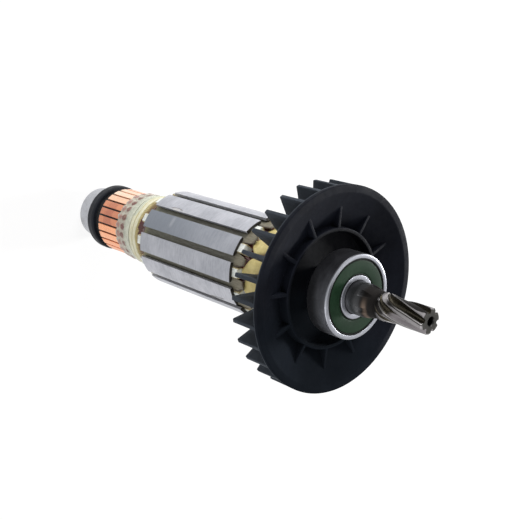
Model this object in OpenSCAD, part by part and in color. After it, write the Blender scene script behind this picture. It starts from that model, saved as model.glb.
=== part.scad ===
// Wound armature of a hand-held power tool, standing on its rear end.
// The origin is on the axis at the rear end, +Z runs along the shaft to the pinion.

/* [Shaft] */
// Diameter of the shaft under the core, the fan and the front bearing
shaft_d = 10; // [9.6:0.1:10.4]
// Diameter of the shaft under the commutator and the insulating washer
commutator_seat_d = 8; // [7.6:0.1:8.6]
// Length of full-diameter shaft in front of the front bearing
nose_l = 5; // [4:0.5:7]
// Length of the taper between the nose and the pinion teeth
taper_l = 4.6; // [3.5:0.1:6]
// Diameter of the centre hole in each end of the shaft
centre_hole_d = 2.4; // [1.6:0.1:2.6]
// Depth of each centre hole
centre_hole_l = 4; // [3:0.5:6]
// Bevel at the edges of the shaft
shaft_bevel = 0.4; // [0.2:0.1:0.5]

/* [Pinion] */
// Number of teeth
pinion_teeth = 6; // [5:1:7]
// Diameter over the tooth tips
pinion_d = 7.8; // [7.2:0.1:8.4]
// Diameter at the bottom of the tooth gaps
pinion_root_d = 4.9; // [4.4:0.1:5.4]
// Length of the toothed end
pinion_l = 18; // [15:0.5:22]
// Turn of the teeth for each millimetre of length, in degrees
helix_rate = 3.9; // [2:0.1:6]
// Angle of the first tooth at the tip of the shaft
tooth_phase = 56; // [0:1:359]

/* [Rear bearing] */
// Bore of the rear bearing and diameter of the shaft's rear journal
rear_bore_d = 7; // [6.8:0.1:7.2]
// Outer diameter of the rear bearing
rear_od = 19; // [18.6:0.1:19.4]
// Width of the rear bearing
rear_w = 6; // [5.6:0.1:6.6]
// Diameter of the balls in the rear bearing
rear_ball_d = 3.5; // [3.3:0.1:3.6]
// Number of balls in the rear bearing
rear_balls_n = 7; // [6:1:8]
// Outer diameter of the inner ring where the rear seals run
rear_land_d = 9.7; // [9.4:0.1:10]
// Bore of the outer ring where the rear seals snap in
rear_seat_d = 16.8; // [16.4:0.1:17.2]
// Thickness of the rear bearing's seals
rear_seal_t = 0.6; // [0.5:0.05:0.65]

/* [Front bearing] */
// Outer diameter of the front bearing
front_od = 26; // [25.6:0.1:26.4]
// Width of the front bearing
front_w = 8; // [7.6:0.1:8.6]
// Diameter of the balls in the front bearing
front_ball_d = 4.76; // [4.5:0.02:4.9]
// Number of balls in the front bearing
front_balls_n = 7; // [6:1:8]
// Outer diameter of the inner ring where the front seals run
front_land_d = 13.6; // [13.2:0.1:14]
// Bore of the outer ring where the front seals snap in
front_seat_d = 22.7; // [22.3:0.1:23]
// Thickness of the front bearing's seals
front_seal_t = 0.8; // [0.7:0.05:0.9]

/* [Both bearings] */
// Height of the inner ring's shoulder over the pitch circle, as a share of the ball's radius
inner_shoulder = 0.63; // [0.58:0.01:0.68]
// Height of the outer ring's shoulder over the pitch circle, as a share of the ball's radius
outer_shoulder = 0.67; // [0.62:0.01:0.72]
// Bevel at the corners of the rings
ring_bevel = 0.4; // [0.3:0.05:0.5]
// Depth of a seal's face below the ring's face
seal_setback = 0.2; // [0.1:0.05:0.25]
// Depth of the grooves in a seal's face
seal_groove_depth = 0.2; // [0.1:0.05:0.3]
// Width of the grooves in a seal's face
seal_groove_w = 0.3; // [0.2:0.05:0.4]
// Width of a seal's outer bead
seal_bead_w = 0.35; // [0.25:0.05:0.5]
// Thickness of the cage's closed side behind the balls
cage_back_t = 0.25; // [0.2:0.05:0.3]
// Radial width of the cage
cage_w = 1.3; // [1.1:0.1:1.6]

/* [Insulating washer] */
// Diameter of the washer's disc
washer_d = 24.4; // [24:0.1:25.5]
// Thickness of the disc
washer_t = 3.6; // [3:0.1:4.2]
// Length of the hub between the disc and the rear bearing
washer_hub_l = 3.6; // [3:0.1:4.5]
// Diameter of the hub
washer_hub_d = 13; // [12:0.5:15]
// Rounding at the disc's outer edges
washer_edge = 0.6; // [0.3:0.1:1]

/* [Commutator] */
// Number of copper bars
bars = 24; // [24:1:24]
// Diameter over the bars
bar_d = 23.8; // [23.4:0.1:24]
// Diameter at the feet of the bars
bar_foot_d = 17.4; // [17:0.1:18]
// Length of bare bars that the brushes run on
track_l = 12.2; // [10:0.2:14]
// Length of the bars under the resin
riser_l = 4.5; // [4:0.1:5.5]
// Width of the slits between the bars
slit_w = 0.65; // [0.5:0.05:0.8]
// Depth of the slits below the bars' surface
slit_depth = 0.8; // [0.6:0.1:1.2]
// Angle of the first slit
slit_phase = 5.3; // [0:0.1:14.9]
// Height of a wire hook over the bar
hook_h = 0.7; // [0.55:0.05:0.8]
// Width of a wire hook
hook_w = 1.7; // [1.4:0.1:2]
// Length of a wire hook
hook_l = 2.2; // [1.8:0.1:2.6]
// Length of the black collar between the bars and the washer
collar_l = 3.7; // [3:0.1:4.5]
// Diameter of the collar
collar_d = 21; // [20:0.2:22.4]
// Outer diameter of the metal bush in the moulding
bush_d = 10.4; // [10:0.1:11.4]

/* [Core] */
// Length of the stack of sheets
core_l = 48.4; // [44:0.2:54]
// Diameter of the stack
core_d = 33.4; // [32.8:0.1:34]
// Number of slots, each opposite another
slots = 12; // [12:1:12]
// Width of a tooth between two slots
tooth_w = 2.7; // [2.4:0.1:3]
// Diameter at the bottom of the slots
slot_floor_d = 18.6; // [18:0.1:19.2]
// Width of a slot's opening
slot_open_w = 2.2; // [1.8:0.1:2.6]
// Thickness of the tooth's lip at the slot's opening
lip_t = 0.95; // [0.8:0.05:1.1]
// Further thickness of the lip where it meets the tooth
lip_slope = 0.55; // [0.4:0.05:0.7]
// Angle of the first slot
slot_phase = 19.7; // [0:0.1:29.9]
// Wall of the sleeve that insulates the core from the shaft
sleeve_t = 1; // [0.8:0.1:1.3]

/* [Slot insulation] */
// Thickness of the end insulator on the rear face
rear_insulator_t = 3.2; // [2.6:0.1:3.6]
// Thickness of the end insulator on the front face
front_insulator_t = 2.3; // [1.8:0.1:2.8]
// Depth of an end insulator's teeth below the core's outside
insulator_drop = 1.1; // [0.8:0.1:1.5]
// Thickness of the folded slot liners
liner_t = 0.25; // [0.2:0.01:0.3]
// Thickness of the slot wedges
wedge_t = 0.7; // [0.5:0.05:0.9]
// Length of a wedge past the core's front face
wedge_front_l = 4.3; // [3.8:0.1:5]
// Length of a wedge past the core's rear face
wedge_rear_l = 0.5; // [0.3:0.1:1]

/* [Winding] */
// Distance between the bars and the core
rear_overhang_l = 18; // [17:0.5:20]
// Diameter of the wound leads behind the bars, under the resin
lead_d = 23.8; // [23.4:0.1:24]
// Diameter of the leads under the binding cord
cord_seat_d = 23.6; // [23.2:0.1:24]
// Diameter of the rear coil heads
rear_coil_d = 25.7; // [25.2:0.1:26.2]
// Diameter of the rear coils next to the core
rear_neck_d = 24; // [23.6:0.1:24.6]
// Length of the front coil heads
front_coil_l = 11.9; // [10:0.1:12.6]
// Diameter of the front coil heads
front_coil_d = 28.8; // [28:0.1:29]
// Diameter of a coil bundle where it leaves a slot
bundle_d = 3.2; // [2.8:0.1:3.4]
// Width of the flat binding cord
cord_w = 2.1; // [1.8:0.1:2.2]
// Thickness of the binding cord
cord_t = 1.2; // [1:0.05:1.3]
// Number of turns of the binding cord
cord_turns = 2; // [1:1:2]
// Length of the resin band from the bare bars to the cord
resin_l = 9.2; // [8.6:0.1:9.4]
// Thickness of the resin over the risers
resin_t = 0.45; // [0.35:0.05:0.6]
// Depth of the resin's edge below the outside of the cord
resin_drop = 0.17; // [0.1:0.01:0.3]

/* [Fan] */
// Diameter of the fan
fan_d = 64; // [60:0.5:68]
// Number of blades
blades = 29; // [23:1:31]
// Angle of the first blade
blade_phase = 10.5; // [0:0.1:12]
// Thickness of a blade
blade_t = 1.25; // [1:0.05:1.5]
// Depth of the blades behind the rim's front
blade_depth = 11.2; // [9:0.2:12.5]
// Thickness of the rim at its edge
rim_t = 1.7; // [1.4:0.1:2.2]
// Width of the flat band round the rim
rim_band = 2.3; // [1.8:0.1:3]
// Bevel at the rim's edge
rim_bevel = 0.3; // [0.2:0.05:0.5]
// Thickness of the dish and of the recess floor
fan_wall = 1.8; // [1.5:0.1:2.2]
// Depth of the dish at the ring wall
dish_depth = 5.2; // [4:0.1:5.6]
// Outer diameter of the ring wall
ring_d = 37.6; // [36.4:0.2:39]
// Thickness of the ring wall
ring_t = 1.2; // [1:0.1:1.5]
// Setback of the ring wall's front edge behind the rim
ring_setback = 2.1; // [1.6:0.1:2.6]
// Depth of the recess inside the ring wall
recess_depth = 6.7; // [6:0.1:7.5]
// Number of ribs
ribs = 12; // [8:1:16]
// Angle of the first rib
rib_phase = 4.5; // [0:0.1:29.9]
// Thickness of a rib
rib_t = 1; // [0.8:0.05:1.3]
// Diameter of the hub
hub_d = 13; // [12.4:0.1:13]
// Length of the hub
hub_l = 14; // [12.5:0.5:15]
// Distance between the core and the hub
fan_gap = 16.7; // [16.5:0.1:20]
// Lead of the rim in front of the bearing's rear face
rim_lead = 0.2; // [0:0.1:0.6]

/* [Fits] */
// Radial clearance between pieces that are pressed or cast on
fit_gap = 0.02; // [0.01:0.01:0.04]
// Clearance between a ball and its races
race_gap = 0.03; // [0.02:0.01:0.05]
// Clearance between a ball and its cage
pocket_gap = 0.06; // [0.04:0.01:0.1]
// Clearance between a seal's lip and the inner ring
lip_gap = 0.06; // [0.04:0.01:0.1]
// Clearance between the slot liners and the core
liner_gap = 0.03; // [0.02:0.01:0.05]
// Clearance between the coil heads and the end insulators
coil_gap = 0.3; // [0.25:0.05:0.5]

/* [Hidden] */
$fn = 96;

// Stations along the shaft
z_hub = rear_w;
z_washer = z_hub + washer_hub_l;
z_collar = z_washer + washer_t;
z_bars = z_collar + collar_l;
z_resin = z_bars + track_l;
z_bars_end = z_resin + riser_l;
z_core = z_bars_end + rear_overhang_l;
z_core_end = z_core + core_l;
z_fan = z_core_end + fan_gap;
z_front = z_fan + hub_l;
z_nose = z_front + front_w;
z_taper = z_nose + nose_l;
z_pinion = z_taper + taper_l;
z_tip = z_pinion + pinion_l;
z_rim = z_front + rim_lead;

// Radii and lengths that several pieces share
shaft_r = shaft_d / 2;
seat_r = commutator_seat_d / 2;
bar_r = bar_d / 2;
bar_foot_r = bar_foot_d / 2;
core_r = core_d / 2;
sleeve_r = shaft_r + sleeve_t;
slot_step = 360 / slots;
bar_step = 360 / bars;
slot_floor_r = slot_floor_d / 2;
slot_lip_r = core_r - lip_t;
slot_top_r = slot_lip_r - lip_slope;
wedge_top_r = slot_top_r - liner_gap;
wedge_floor_r = wedge_top_r - wedge_t;
wire_top_r = wedge_floor_r - liner_gap;
ring_r = ring_d / 2;
rim_r = fan_d / 2;
band_r = rim_r - rim_band;
hub_r = hub_d / 2;
z_coil_front = z_core_end + front_insulator_t + coil_gap;
z_coil_rear = z_core - rear_insulator_t - coil_gap;
z_coil_start = z_bars_end + 1.2;
z_cord = z_resin + resin_l + 0.1;
cord_inner_r = cord_seat_d / 2 + fit_gap;
cord_pitch = cord_w - 0.05;
z_cord_end = z_cord + (cord_turns - 1) * cord_pitch + cord_w;
liner_out = coil_gap / 2;
// Room that a cutting shape takes past the face that it cuts
over = 1;

// Copies round the axis
module around(count, phase = 0) {
    for (i = [0 : count - 1])
        rotate(phase + i * 360 / count)
            children();
}

// A closed outline of radius and height turned round the axis
module turned(outline) {
    rotate_extrude()
        polygon(outline);
}

// SHAFT

// Points of the pinion's section: each tooth is a flat land, two bulged flanks and a round gap
land_a = 0.2;
flank_a = 0.27;
gap_a = 0.38;
flank_share = 0.55;
root_r = pinion_root_d / 2;
tip_r = pinion_d / 2;
flank_r = root_r + flank_share * (tip_r - root_r);
tooth_shape = [
    [root_r, -0.5], [root_r + 0.05, -gap_a], [flank_r, -flank_a], [tip_r, -land_a], [tip_r, 0],
    [tip_r, land_a], [flank_r, flank_a], [root_r + 0.05, gap_a]
];
function pinion_section(step = 360 / pinion_teeth) = [
    for (t = [0 : pinion_teeth - 1])
        for (p = tooth_shape)
            p[0] * [cos((t + p[1]) * step), sin((t + p[1]) * step)]
];

pinion_slices = 21;
run_in = 2.5;
module helical_teeth() {
    teeth_l = pinion_l + run_in;
    turn = helix_rate * teeth_l;
    intersection() {
        translate([0, 0, z_tip - teeth_l])
            rotate(tooth_phase - turn)
                linear_extrude(height = teeth_l, twist = -turn, slices = pinion_slices)
                    polygon(pinion_section());
        turned([
            [0, z_tip - teeth_l - over], [tip_r + over, z_tip - teeth_l - over], [tip_r + over, z_tip - over],
            [tip_r - shaft_bevel, z_tip], [0, z_tip]
        ]);
    }
}

module shaft_body() {
    rear_r = rear_bore_d / 2;
    z_step = z_bars_end + 0.6;
    turned([
        [0, 0], [rear_r - shaft_bevel, 0], [rear_r, shaft_bevel], [rear_r, z_hub], [seat_r, z_hub], [seat_r, z_step],
        [shaft_r, z_step], [shaft_r, z_taper], [shaft_r - 0.25, z_taper + 1.2], [tip_r + 0.15, z_pinion],
        [tip_r - 0.2, z_pinion + 0.8], [root_r, z_pinion + run_in + 2], [root_r, z_tip - shaft_bevel], [0, z_tip - shaft_bevel]
    ]);
}

module centre_hole() {
    r = centre_hole_d / 2;
    translate([0, 0, -over])
        cylinder(h = centre_hole_l + over, r = r);
    translate([0, 0, -r])
        cylinder(h = 2 * r, r1 = 2 * r, r2 = 0.5 * r);
}

module shaft() {
    color("#9fa1a6")
        difference() {
            union() {
                shaft_body();
                helical_teeth();
            }
            centre_hole();
            translate([0, 0, z_tip])
                mirror([0, 0, 1])
                    centre_hole();
        }
}

module shaft_insulation() {
    color("#d8d2bf")
        translate([0, 0, z_coil_start])
            difference() {
                cylinder(h = z_fan - coil_gap - z_coil_start, r = sleeve_r - fit_gap);
                translate([0, 0, -over])
                    cylinder(h = z_fan, r = shaft_r + fit_gap);
            }
}

// CORE AND SLOT INSULATION

// Half the width of a slot at a radius, less an inset from the tooth's side
function slot_half(r, inset = 0) = r * tan(slot_step / 2) - (tooth_w / 2 + inset) / cos(slot_step / 2);

// Section of one slot with its lips and its opening
function slot_section() = [
    [slot_floor_r, -slot_half(slot_floor_r)], [slot_top_r, -slot_half(slot_top_r)], [slot_lip_r, -slot_open_w / 2],
    [core_r + over, -slot_open_w / 2], [core_r + over, slot_open_w / 2], [slot_lip_r, slot_open_w / 2],
    [slot_top_r, slot_half(slot_top_r)], [slot_floor_r, slot_half(slot_floor_r)]
];

// A wedge-shaped section between two radii, inset from the tooth's sides
function slot_fill(r0, r1, inset) = [
    [r0, -slot_half(r0, inset)], [r1, -slot_half(r1, inset)], [r1, slot_half(r1, inset)], [r0, slot_half(r0, inset)]
];

module lamination_core() {
    color("#a2a4aa")
        difference() {
            translate([0, 0, z_core])
                cylinder(h = core_l, r = core_r);
            translate([0, 0, z_core - over])
                cylinder(h = core_l + 2 * over, r = sleeve_r);
            around(slots, slot_phase)
                translate([0, 0, z_core - over])
                    linear_extrude(core_l + 2 * over)
                        polygon(slot_section());
        }
}

// A ring with a straight tooth over each tooth of the core
module end_insulator(z, thickness) {
    tooth_end_r = core_r - insulator_drop;
    color("#dcded6")
        translate([0, 0, z])
            difference() {
                union() {
                    cylinder(h = thickness, r = slot_floor_r);
                    around(slots, slot_phase + slot_step / 2)
                        translate([0, -tooth_w / 2, 0])
                            cube([tooth_end_r, tooth_w, thickness]);
                }
                translate([0, 0, -over])
                    cylinder(h = thickness + 2 * over, r = sleeve_r);
            }
}

module rear_end_insulator() {
    end_insulator(z_core - rear_insulator_t, rear_insulator_t);
}

module front_end_insulator() {
    end_insulator(z_core_end, front_insulator_t);
}

module slot_liners() {
    z0 = z_core - rear_insulator_t - liner_out;
    inset = liner_gap + liner_t;
    floor_r = slot_floor_r + liner_gap;
    top_r = wedge_top_r;
    color("#c9bd93")
        around(slots, slot_phase)
            translate([0, 0, z0])
                linear_extrude(z_core_end + front_insulator_t + liner_out - z0)
                    polygon([
                        [floor_r, -slot_half(floor_r, liner_gap)], [top_r, -slot_half(top_r, liner_gap)],
                        [top_r, -slot_half(top_r, inset)], [floor_r + liner_t, -slot_half(floor_r + liner_t, inset)],
                        [floor_r + liner_t, slot_half(floor_r + liner_t, inset)], [top_r, slot_half(top_r, inset)],
                        [top_r, slot_half(top_r, liner_gap)], [floor_r, slot_half(floor_r, liner_gap)]
                    ]);
}

module slot_wedges() {
    color("#4b4b41")
        around(slots, slot_phase)
            translate([0, 0, z_core - wedge_rear_l])
                linear_extrude(core_l + wedge_rear_l + wedge_front_l)
                    polygon(slot_fill(wedge_floor_r, wedge_top_r, 2 * liner_gap + liner_t));
}

// WINDING

module slot_wires() {
    inset = 2 * liner_gap + liner_t;
    around(slots, slot_phase)
        translate([0, 0, z_coil_rear - 0.2])
            linear_extrude(z_coil_front - z_coil_rear + 0.4)
                polygon(slot_fill(slot_floor_r + inset, wire_top_r, inset));
}

module rear_coils() {
    inner_r = sleeve_r + 0.3;
    z_seat = z_cord - 0.05;
    z_seat_end = z_cord_end + 0.05;
    turned([
        [inner_r, z_coil_start], [lead_d / 2, z_coil_start], [lead_d / 2, z_seat], [cord_seat_d / 2, z_seat],
        [cord_seat_d / 2, z_seat_end], [rear_coil_d / 2, z_seat_end + 0.2],
        [rear_coil_d / 2 - 0.2, z_seat_end + 1], [rear_neck_d / 2 + 0.4, z_coil_rear - 1.6],
        [rear_neck_d / 2, z_coil_rear], [inner_r, z_coil_rear]
    ]);
}

module front_coils() {
    inner_r = sleeve_r + 0.6;
    r = front_coil_d / 2;
    bundle_r = bundle_d / 2;
    bundle_seat_r = wire_top_r - bundle_r - 0.3;
    turned([
        [inner_r, z_coil_front], [r - 2.4, z_coil_front], [r - 1.6, z_coil_front + 1.6], [r - 0.5, z_coil_front + 3.4],
        [r, z_coil_front + 5.2], [r - 0.3, z_coil_front + 7.4], [r - 1.4, z_coil_front + 9.6],
        [r - 3.4, z_coil_front + front_coil_l], [inner_r, z_coil_front + front_coil_l]
    ]);
    around(slots, slot_phase)
        translate([bundle_seat_r, 0, z_coil_front])
            rotate([-28, 4, 0]) {
                cylinder(h = front_coil_l - 4.6, r = bundle_r);
                translate([0, 0, front_coil_l - 4.6])
                    sphere(bundle_r);
            }
}

module winding() {
    color("#b5a763")
        union() {
            slot_wires();
            rear_coils();
            front_coils();
        }
}

module lead_resin() {
    inner_r = bar_r + 0.05;
    hook_room = 0.05;
    edge_r = max(bar_r + resin_t, cord_inner_r + cord_t - resin_drop);
    color("#a5a796")
        difference() {
            turned([
                [inner_r, z_resin], [bar_r + 0.75 * resin_t, z_resin], [bar_r + resin_t, z_resin + 0.5],
                [bar_r + resin_t, z_bars_end], [edge_r, z_resin + resin_l],
                [inner_r, z_resin + resin_l]
            ]);
            around(bars, slit_phase + bar_step / 2)
                translate([bar_r, -hook_w / 2 - hook_room, z_resin + hook_inset - hook_room])
                    cube([hook_h + over, hook_w + 2 * hook_room, hook_l + 2 * hook_room]);
        }
}

// Each turn has a flattened round section
module binding_cord() {
    middle_r = cord_inner_r + cord_t / 2;
    corners = 16;
    color("#d3cda9")
        for (i = [0 : cord_turns - 1])
            turned([
                for (k = [0 : corners - 1])
                    let (t = k * 360 / corners)
                        [middle_r + cord_t / 2 * cos(t), z_cord + i * cord_pitch + cord_w / 2 * (1 + sin(t))]
            ]);
}

// COMMUTATOR

// Distance from the resin's edge to a hook
hook_inset = 1.1;
// Outline of a bar with its dovetail foot, grown for the space that it needs in the moulding
foot_step = 0.8;
foot_bevel = 1.4;
function bar_outline(top_r, grow = 0) = [
    [top_r, z_bars - grow], [top_r, z_bars_end + grow], [bar_foot_r + 2 * foot_step, z_bars_end + grow],
    [bar_foot_r + foot_step, z_bars_end - foot_bevel - foot_step + grow],
    [bar_foot_r - grow, z_bars_end - foot_bevel + grow], [bar_foot_r - grow, z_bars + foot_bevel - grow],
    [bar_foot_r + foot_step, z_bars + foot_bevel + foot_step - grow], [bar_foot_r + 2 * foot_step, z_bars - grow]
];

module slit_walls(width, r) {
    around(bars, slit_phase)
        translate([0, -width / 2, z_bars - over])
            cube([r, width, z_bars_end - z_bars + 2 * over]);
}

module commutator_bars() {
    color("#d9895f") {
        difference() {
            turned(bar_outline(bar_r));
            slit_walls(slit_w, bar_r + over);
        }
        around(bars, slit_phase + bar_step / 2)
            translate([bar_r - 0.4, -hook_w / 2, z_resin + hook_inset])
                cube([hook_h + 0.4, hook_w, hook_l]);
    }
}

module commutator_moulding() {
    fin_r = bar_r - slit_depth;
    flange_l = 0.4;
    color("#17181a")
        difference() {
            union() {
                translate([0, 0, z_collar])
                    cylinder(h = z_bars - fit_gap - z_collar, r = collar_d / 2);
                translate([0, 0, z_bars - over])
                    cylinder(h = z_bars_end + flange_l - z_bars + over, r = fin_r);
            }
            difference() {
                turned(bar_outline(bar_r + over, fit_gap));
                slit_walls(slit_w - 2 * fit_gap, bar_r + 2 * over);
            }
            translate([0, 0, z_collar - over])
                cylinder(h = z_bars_end - z_collar + 3 * over, r = bush_d / 2 + fit_gap);
        }
}

module commutator_bush() {
    color("#8d8f92")
        translate([0, 0, z_collar])
            difference() {
                cylinder(h = z_bars_end - z_collar, r = bush_d / 2);
                translate([0, 0, -over])
                    cylinder(h = z_bars_end, r = seat_r + fit_gap);
            }
}

module insulating_washer() {
    r = washer_d / 2;
    color("#2c2f36")
        turned([
            [seat_r + fit_gap, z_hub + fit_gap], [rear_land_d / 2 - 0.1, z_hub + fit_gap],
            [rear_land_d / 2 - 0.1, z_hub + 0.6], [washer_hub_d / 2, z_hub + 1], [washer_hub_d / 2, z_washer],
            [r - washer_edge, z_washer], [r - 0.3 * washer_edge, z_washer + 0.3 * washer_edge],
            [r, z_washer + washer_edge], [r, z_collar - washer_edge],
            [r - 0.3 * washer_edge, z_collar - 0.3 * washer_edge], [r - washer_edge, z_collar],
            [seat_r + fit_gap, z_collar]
        ]);
}

// FAN

// Turned shape: hub, recess floor, ring wall, dish and rim
module fan_body() {
    floor_z = z_rim - recess_depth;
    fillet = 0.8;
    turned([
        [shaft_r + fit_gap, z_fan], [hub_r, z_fan], [hub_r, floor_z - fan_wall],
        [ring_r - fillet, floor_z - fan_wall], [ring_r, floor_z - fan_wall + fillet],
        [ring_r, z_rim - dish_depth - fan_wall], [band_r, z_rim - rim_t], [rim_r, z_rim - rim_t],
        [rim_r, z_rim - rim_bevel], [rim_r - rim_bevel, z_rim], [band_r, z_rim],
        [ring_r, z_rim - dish_depth], [ring_r, z_rim - ring_setback - 0.2], [ring_r - 0.2, z_rim - ring_setback],
        [ring_r - ring_t + 0.2, z_rim - ring_setback], [ring_r - ring_t, z_rim - ring_setback - 0.2],
        [ring_r - ring_t, floor_z + 2 * fillet], [ring_r - ring_t - 0.5 * fillet, floor_z + 0.7 * fillet],
        [ring_r - ring_t - 2 * fillet, floor_z], [hub_r, floor_z], [hub_r, z_front], [shaft_r + fit_gap, z_front]
    ]);
}

// A plate in the plane of the axis, with its outline given in radius and height
module radial_plate(outline, thickness) {
    rotate([90, 0, 0])
        translate([0, 0, -thickness / 2])
            linear_extrude(thickness)
                polygon(outline);
}

module fan_blades() {
    sunk = fan_wall / 2;
    inner_r = ring_r - 0.5;
    outer_r = rim_r - 0.05;
    around(blades, blade_phase)
        radial_plate([
            [inner_r, z_rim - blade_depth], [outer_r, z_rim - blade_depth], [outer_r, z_rim - sunk],
            [band_r, z_rim - sunk], [inner_r, z_rim - dish_depth - sunk]
        ], blade_t);
}

module fan_ribs() {
    sunk = 0.5;
    inner_r = ring_r - 0.4;
    outer_r = ring_r + (band_r - ring_r) * (1 - ring_setback / dish_depth);
    around(ribs, rib_phase)
        radial_plate([
            [inner_r, z_rim - ring_setback - 0.1], [outer_r, z_rim - ring_setback - 0.1],
            [outer_r, z_rim - ring_setback - sunk], [inner_r, z_rim - dish_depth - sunk]
        ], rib_t);
}

module fan() {
    color("#1c1e22") {
        fan_body();
        fan_blades();
        fan_ribs();
    }
}

// BALL BEARINGS

// Values of one bearing: rear face, bore radius, outer radius, width, ball radius, balls, land, seat, seal
rear_bearing = [
    0, rear_bore_d / 2, rear_od / 2, rear_w, rear_ball_d / 2, rear_balls_n, rear_land_d / 2, rear_seat_d / 2, rear_seal_t
];
front_bearing = [
    z_front, shaft_r, front_od / 2, front_w, front_ball_d / 2, front_balls_n, front_land_d / 2, front_seat_d / 2,
    front_seal_t
];
function face_z(b) = b[0];
function bore_r(b) = b[1];
function outer_r(b) = b[2];
function width(b) = b[3];
function ball_r(b) = b[4];
function ball_n(b) = b[5];
function land_r(b) = b[6];
function groove_r(b) = b[7];
function seal_t(b) = b[8];
function pitch_r(b) = (bore_r(b) + outer_r(b)) / 2;
function seal_zone(b) = seal_setback + seal_t(b);

module raceway(b) {
    rotate_extrude()
        translate([pitch_r(b), width(b) / 2])
            circle(ball_r(b) + race_gap);
}

module inner_ring(b) {
    bore = bore_r(b) + fit_gap;
    shoulder = pitch_r(b) - inner_shoulder * ball_r(b);
    zone = seal_zone(b) + 0.15;
    w = width(b);
    color("#b4b6ba")
        translate([0, 0, face_z(b)])
            difference() {
                turned([
                    [bore + ring_bevel / 2, 0], [land_r(b), 0], [land_r(b), zone], [shoulder, zone],
                    [shoulder, w - zone], [land_r(b), w - zone], [land_r(b), w], [bore + ring_bevel / 2, w],
                    [bore, w - ring_bevel / 2], [bore, ring_bevel / 2]
                ]);
                raceway(b);
            }
}

module outer_ring(b) {
    r = outer_r(b);
    shoulder = pitch_r(b) + outer_shoulder * ball_r(b);
    zone = seal_zone(b);
    w = width(b);
    color("#c3c5ca")
        translate([0, 0, face_z(b)])
            difference() {
                turned([
                    [groove_r(b), 0], [r - ring_bevel, 0], [r, ring_bevel], [r, w - ring_bevel], [r - ring_bevel, w],
                    [groove_r(b), w], [groove_r(b), w - zone], [shoulder, w - zone], [shoulder, zone],
                    [groove_r(b), zone]
                ]);
                raceway(b);
            }
}

module balls(b) {
    color("#d4d6da")
        translate([0, 0, face_z(b) + width(b) / 2])
            around(ball_n(b))
                translate([pitch_r(b), 0, 0])
                    sphere(ball_r(b));
}

// A snap-in cage, closed towards the rear and open towards the front
module cage(b) {
    pocket_r = ball_r(b) + pocket_gap;
    back = pocket_r + cage_back_t;
    front = 0.35 * ball_r(b);
    color("#e4e0d2")
        translate([0, 0, face_z(b) + width(b) / 2])
            difference() {
                turned([
                    [pitch_r(b) - cage_w / 2, -back], [pitch_r(b) + cage_w / 2, -back],
                    [pitch_r(b) + cage_w / 2, front], [pitch_r(b) - cage_w / 2, front]
                ]);
                around(ball_n(b))
                    translate([pitch_r(b), 0, 0])
                        sphere(pocket_r);
            }
}

// Seal with its outside at height 0, a groove inside its bead and another outside its lip
module seal(b, tint) {
    r0 = land_r(b) + lip_gap;
    r1 = groove_r(b) - fit_gap;
    t = seal_t(b) - fit_gap;
    dip = seal_groove_depth;
    step = seal_groove_w;
    bead = r1 - seal_bead_w;
    color(tint)
        turned([
            [r0, 0], [r0 + step, 0], [r0 + step, dip], [r0 + 2 * step, dip], [r0 + 2 * step, 0],
            [bead - step, 0], [bead - step, dip], [bead, dip], [bead, 0], [r1, 0], [r1, t], [r0, t]
        ]);
}

module rear_facing_seal(b, tint) {
    translate([0, 0, face_z(b) + seal_setback])
        seal(b, tint);
}

module front_facing_seal(b, tint) {
    translate([0, 0, face_z(b) + width(b) - seal_setback])
        mirror([0, 0, 1])
            seal(b, tint);
}

shaft();
shaft_insulation();
lamination_core();
rear_end_insulator();
front_end_insulator();
slot_liners();
slot_wedges();
winding();
commutator_bars();
commutator_moulding();
commutator_bush();
lead_resin();
binding_cord();
insulating_washer();
fan();
inner_ring(rear_bearing);  // rear_inner_ring
outer_ring(rear_bearing);  // rear_outer_ring
balls(rear_bearing);  // rear_balls
cage(rear_bearing);  // rear_cage
rear_facing_seal(rear_bearing, "#26282b");  // rear_outer_seal
front_facing_seal(rear_bearing, "#26282b");  // rear_inner_seal
inner_ring(front_bearing);  // front_inner_ring
outer_ring(front_bearing);  // front_outer_ring
balls(front_bearing);  // front_balls
cage(front_bearing);  // front_cage
front_facing_seal(front_bearing, "#2f4d38");  // front_outer_seal
rear_facing_seal(front_bearing, "#2f4d38");  // front_inner_seal
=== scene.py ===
"""Looks of a wound motor armature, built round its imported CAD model.

Lengths are in millimetres in the classes below and become metres when a mesh is made. Angles are in
degrees about +Z, and heights are measured from the rear end of the shaft, as in the part's source.
"""

import enum
import logging
import math
from dataclasses import dataclass, field
from typing import Any, Sequence

import bpy
import numpy as np
from mathutils import Matrix, Vector


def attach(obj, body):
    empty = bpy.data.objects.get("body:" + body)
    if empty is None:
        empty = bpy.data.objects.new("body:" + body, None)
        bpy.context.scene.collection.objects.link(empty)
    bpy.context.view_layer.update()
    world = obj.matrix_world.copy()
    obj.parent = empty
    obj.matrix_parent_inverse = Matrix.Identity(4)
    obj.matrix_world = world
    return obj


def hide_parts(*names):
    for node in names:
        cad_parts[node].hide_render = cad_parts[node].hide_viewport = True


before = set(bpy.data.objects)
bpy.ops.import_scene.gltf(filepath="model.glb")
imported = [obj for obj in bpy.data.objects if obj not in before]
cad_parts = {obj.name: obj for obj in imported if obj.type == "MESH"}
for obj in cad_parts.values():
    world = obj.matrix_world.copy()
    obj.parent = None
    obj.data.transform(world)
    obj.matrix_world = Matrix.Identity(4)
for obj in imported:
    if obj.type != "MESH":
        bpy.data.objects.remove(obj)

LOG = logging.getLogger("armature_looks")
MM = 0.001
FULL_TURN = 360.0
ROUND_POINTS = 720

Colour = tuple[float, float, float]
Corner = tuple[float, float]


class Body(enum.Enum):
    """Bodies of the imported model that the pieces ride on."""

    ARMATURE = "armature"
    REAR_OUTER = "rear_outer"
    FRONT_OUTER = "front_outer"


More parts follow.
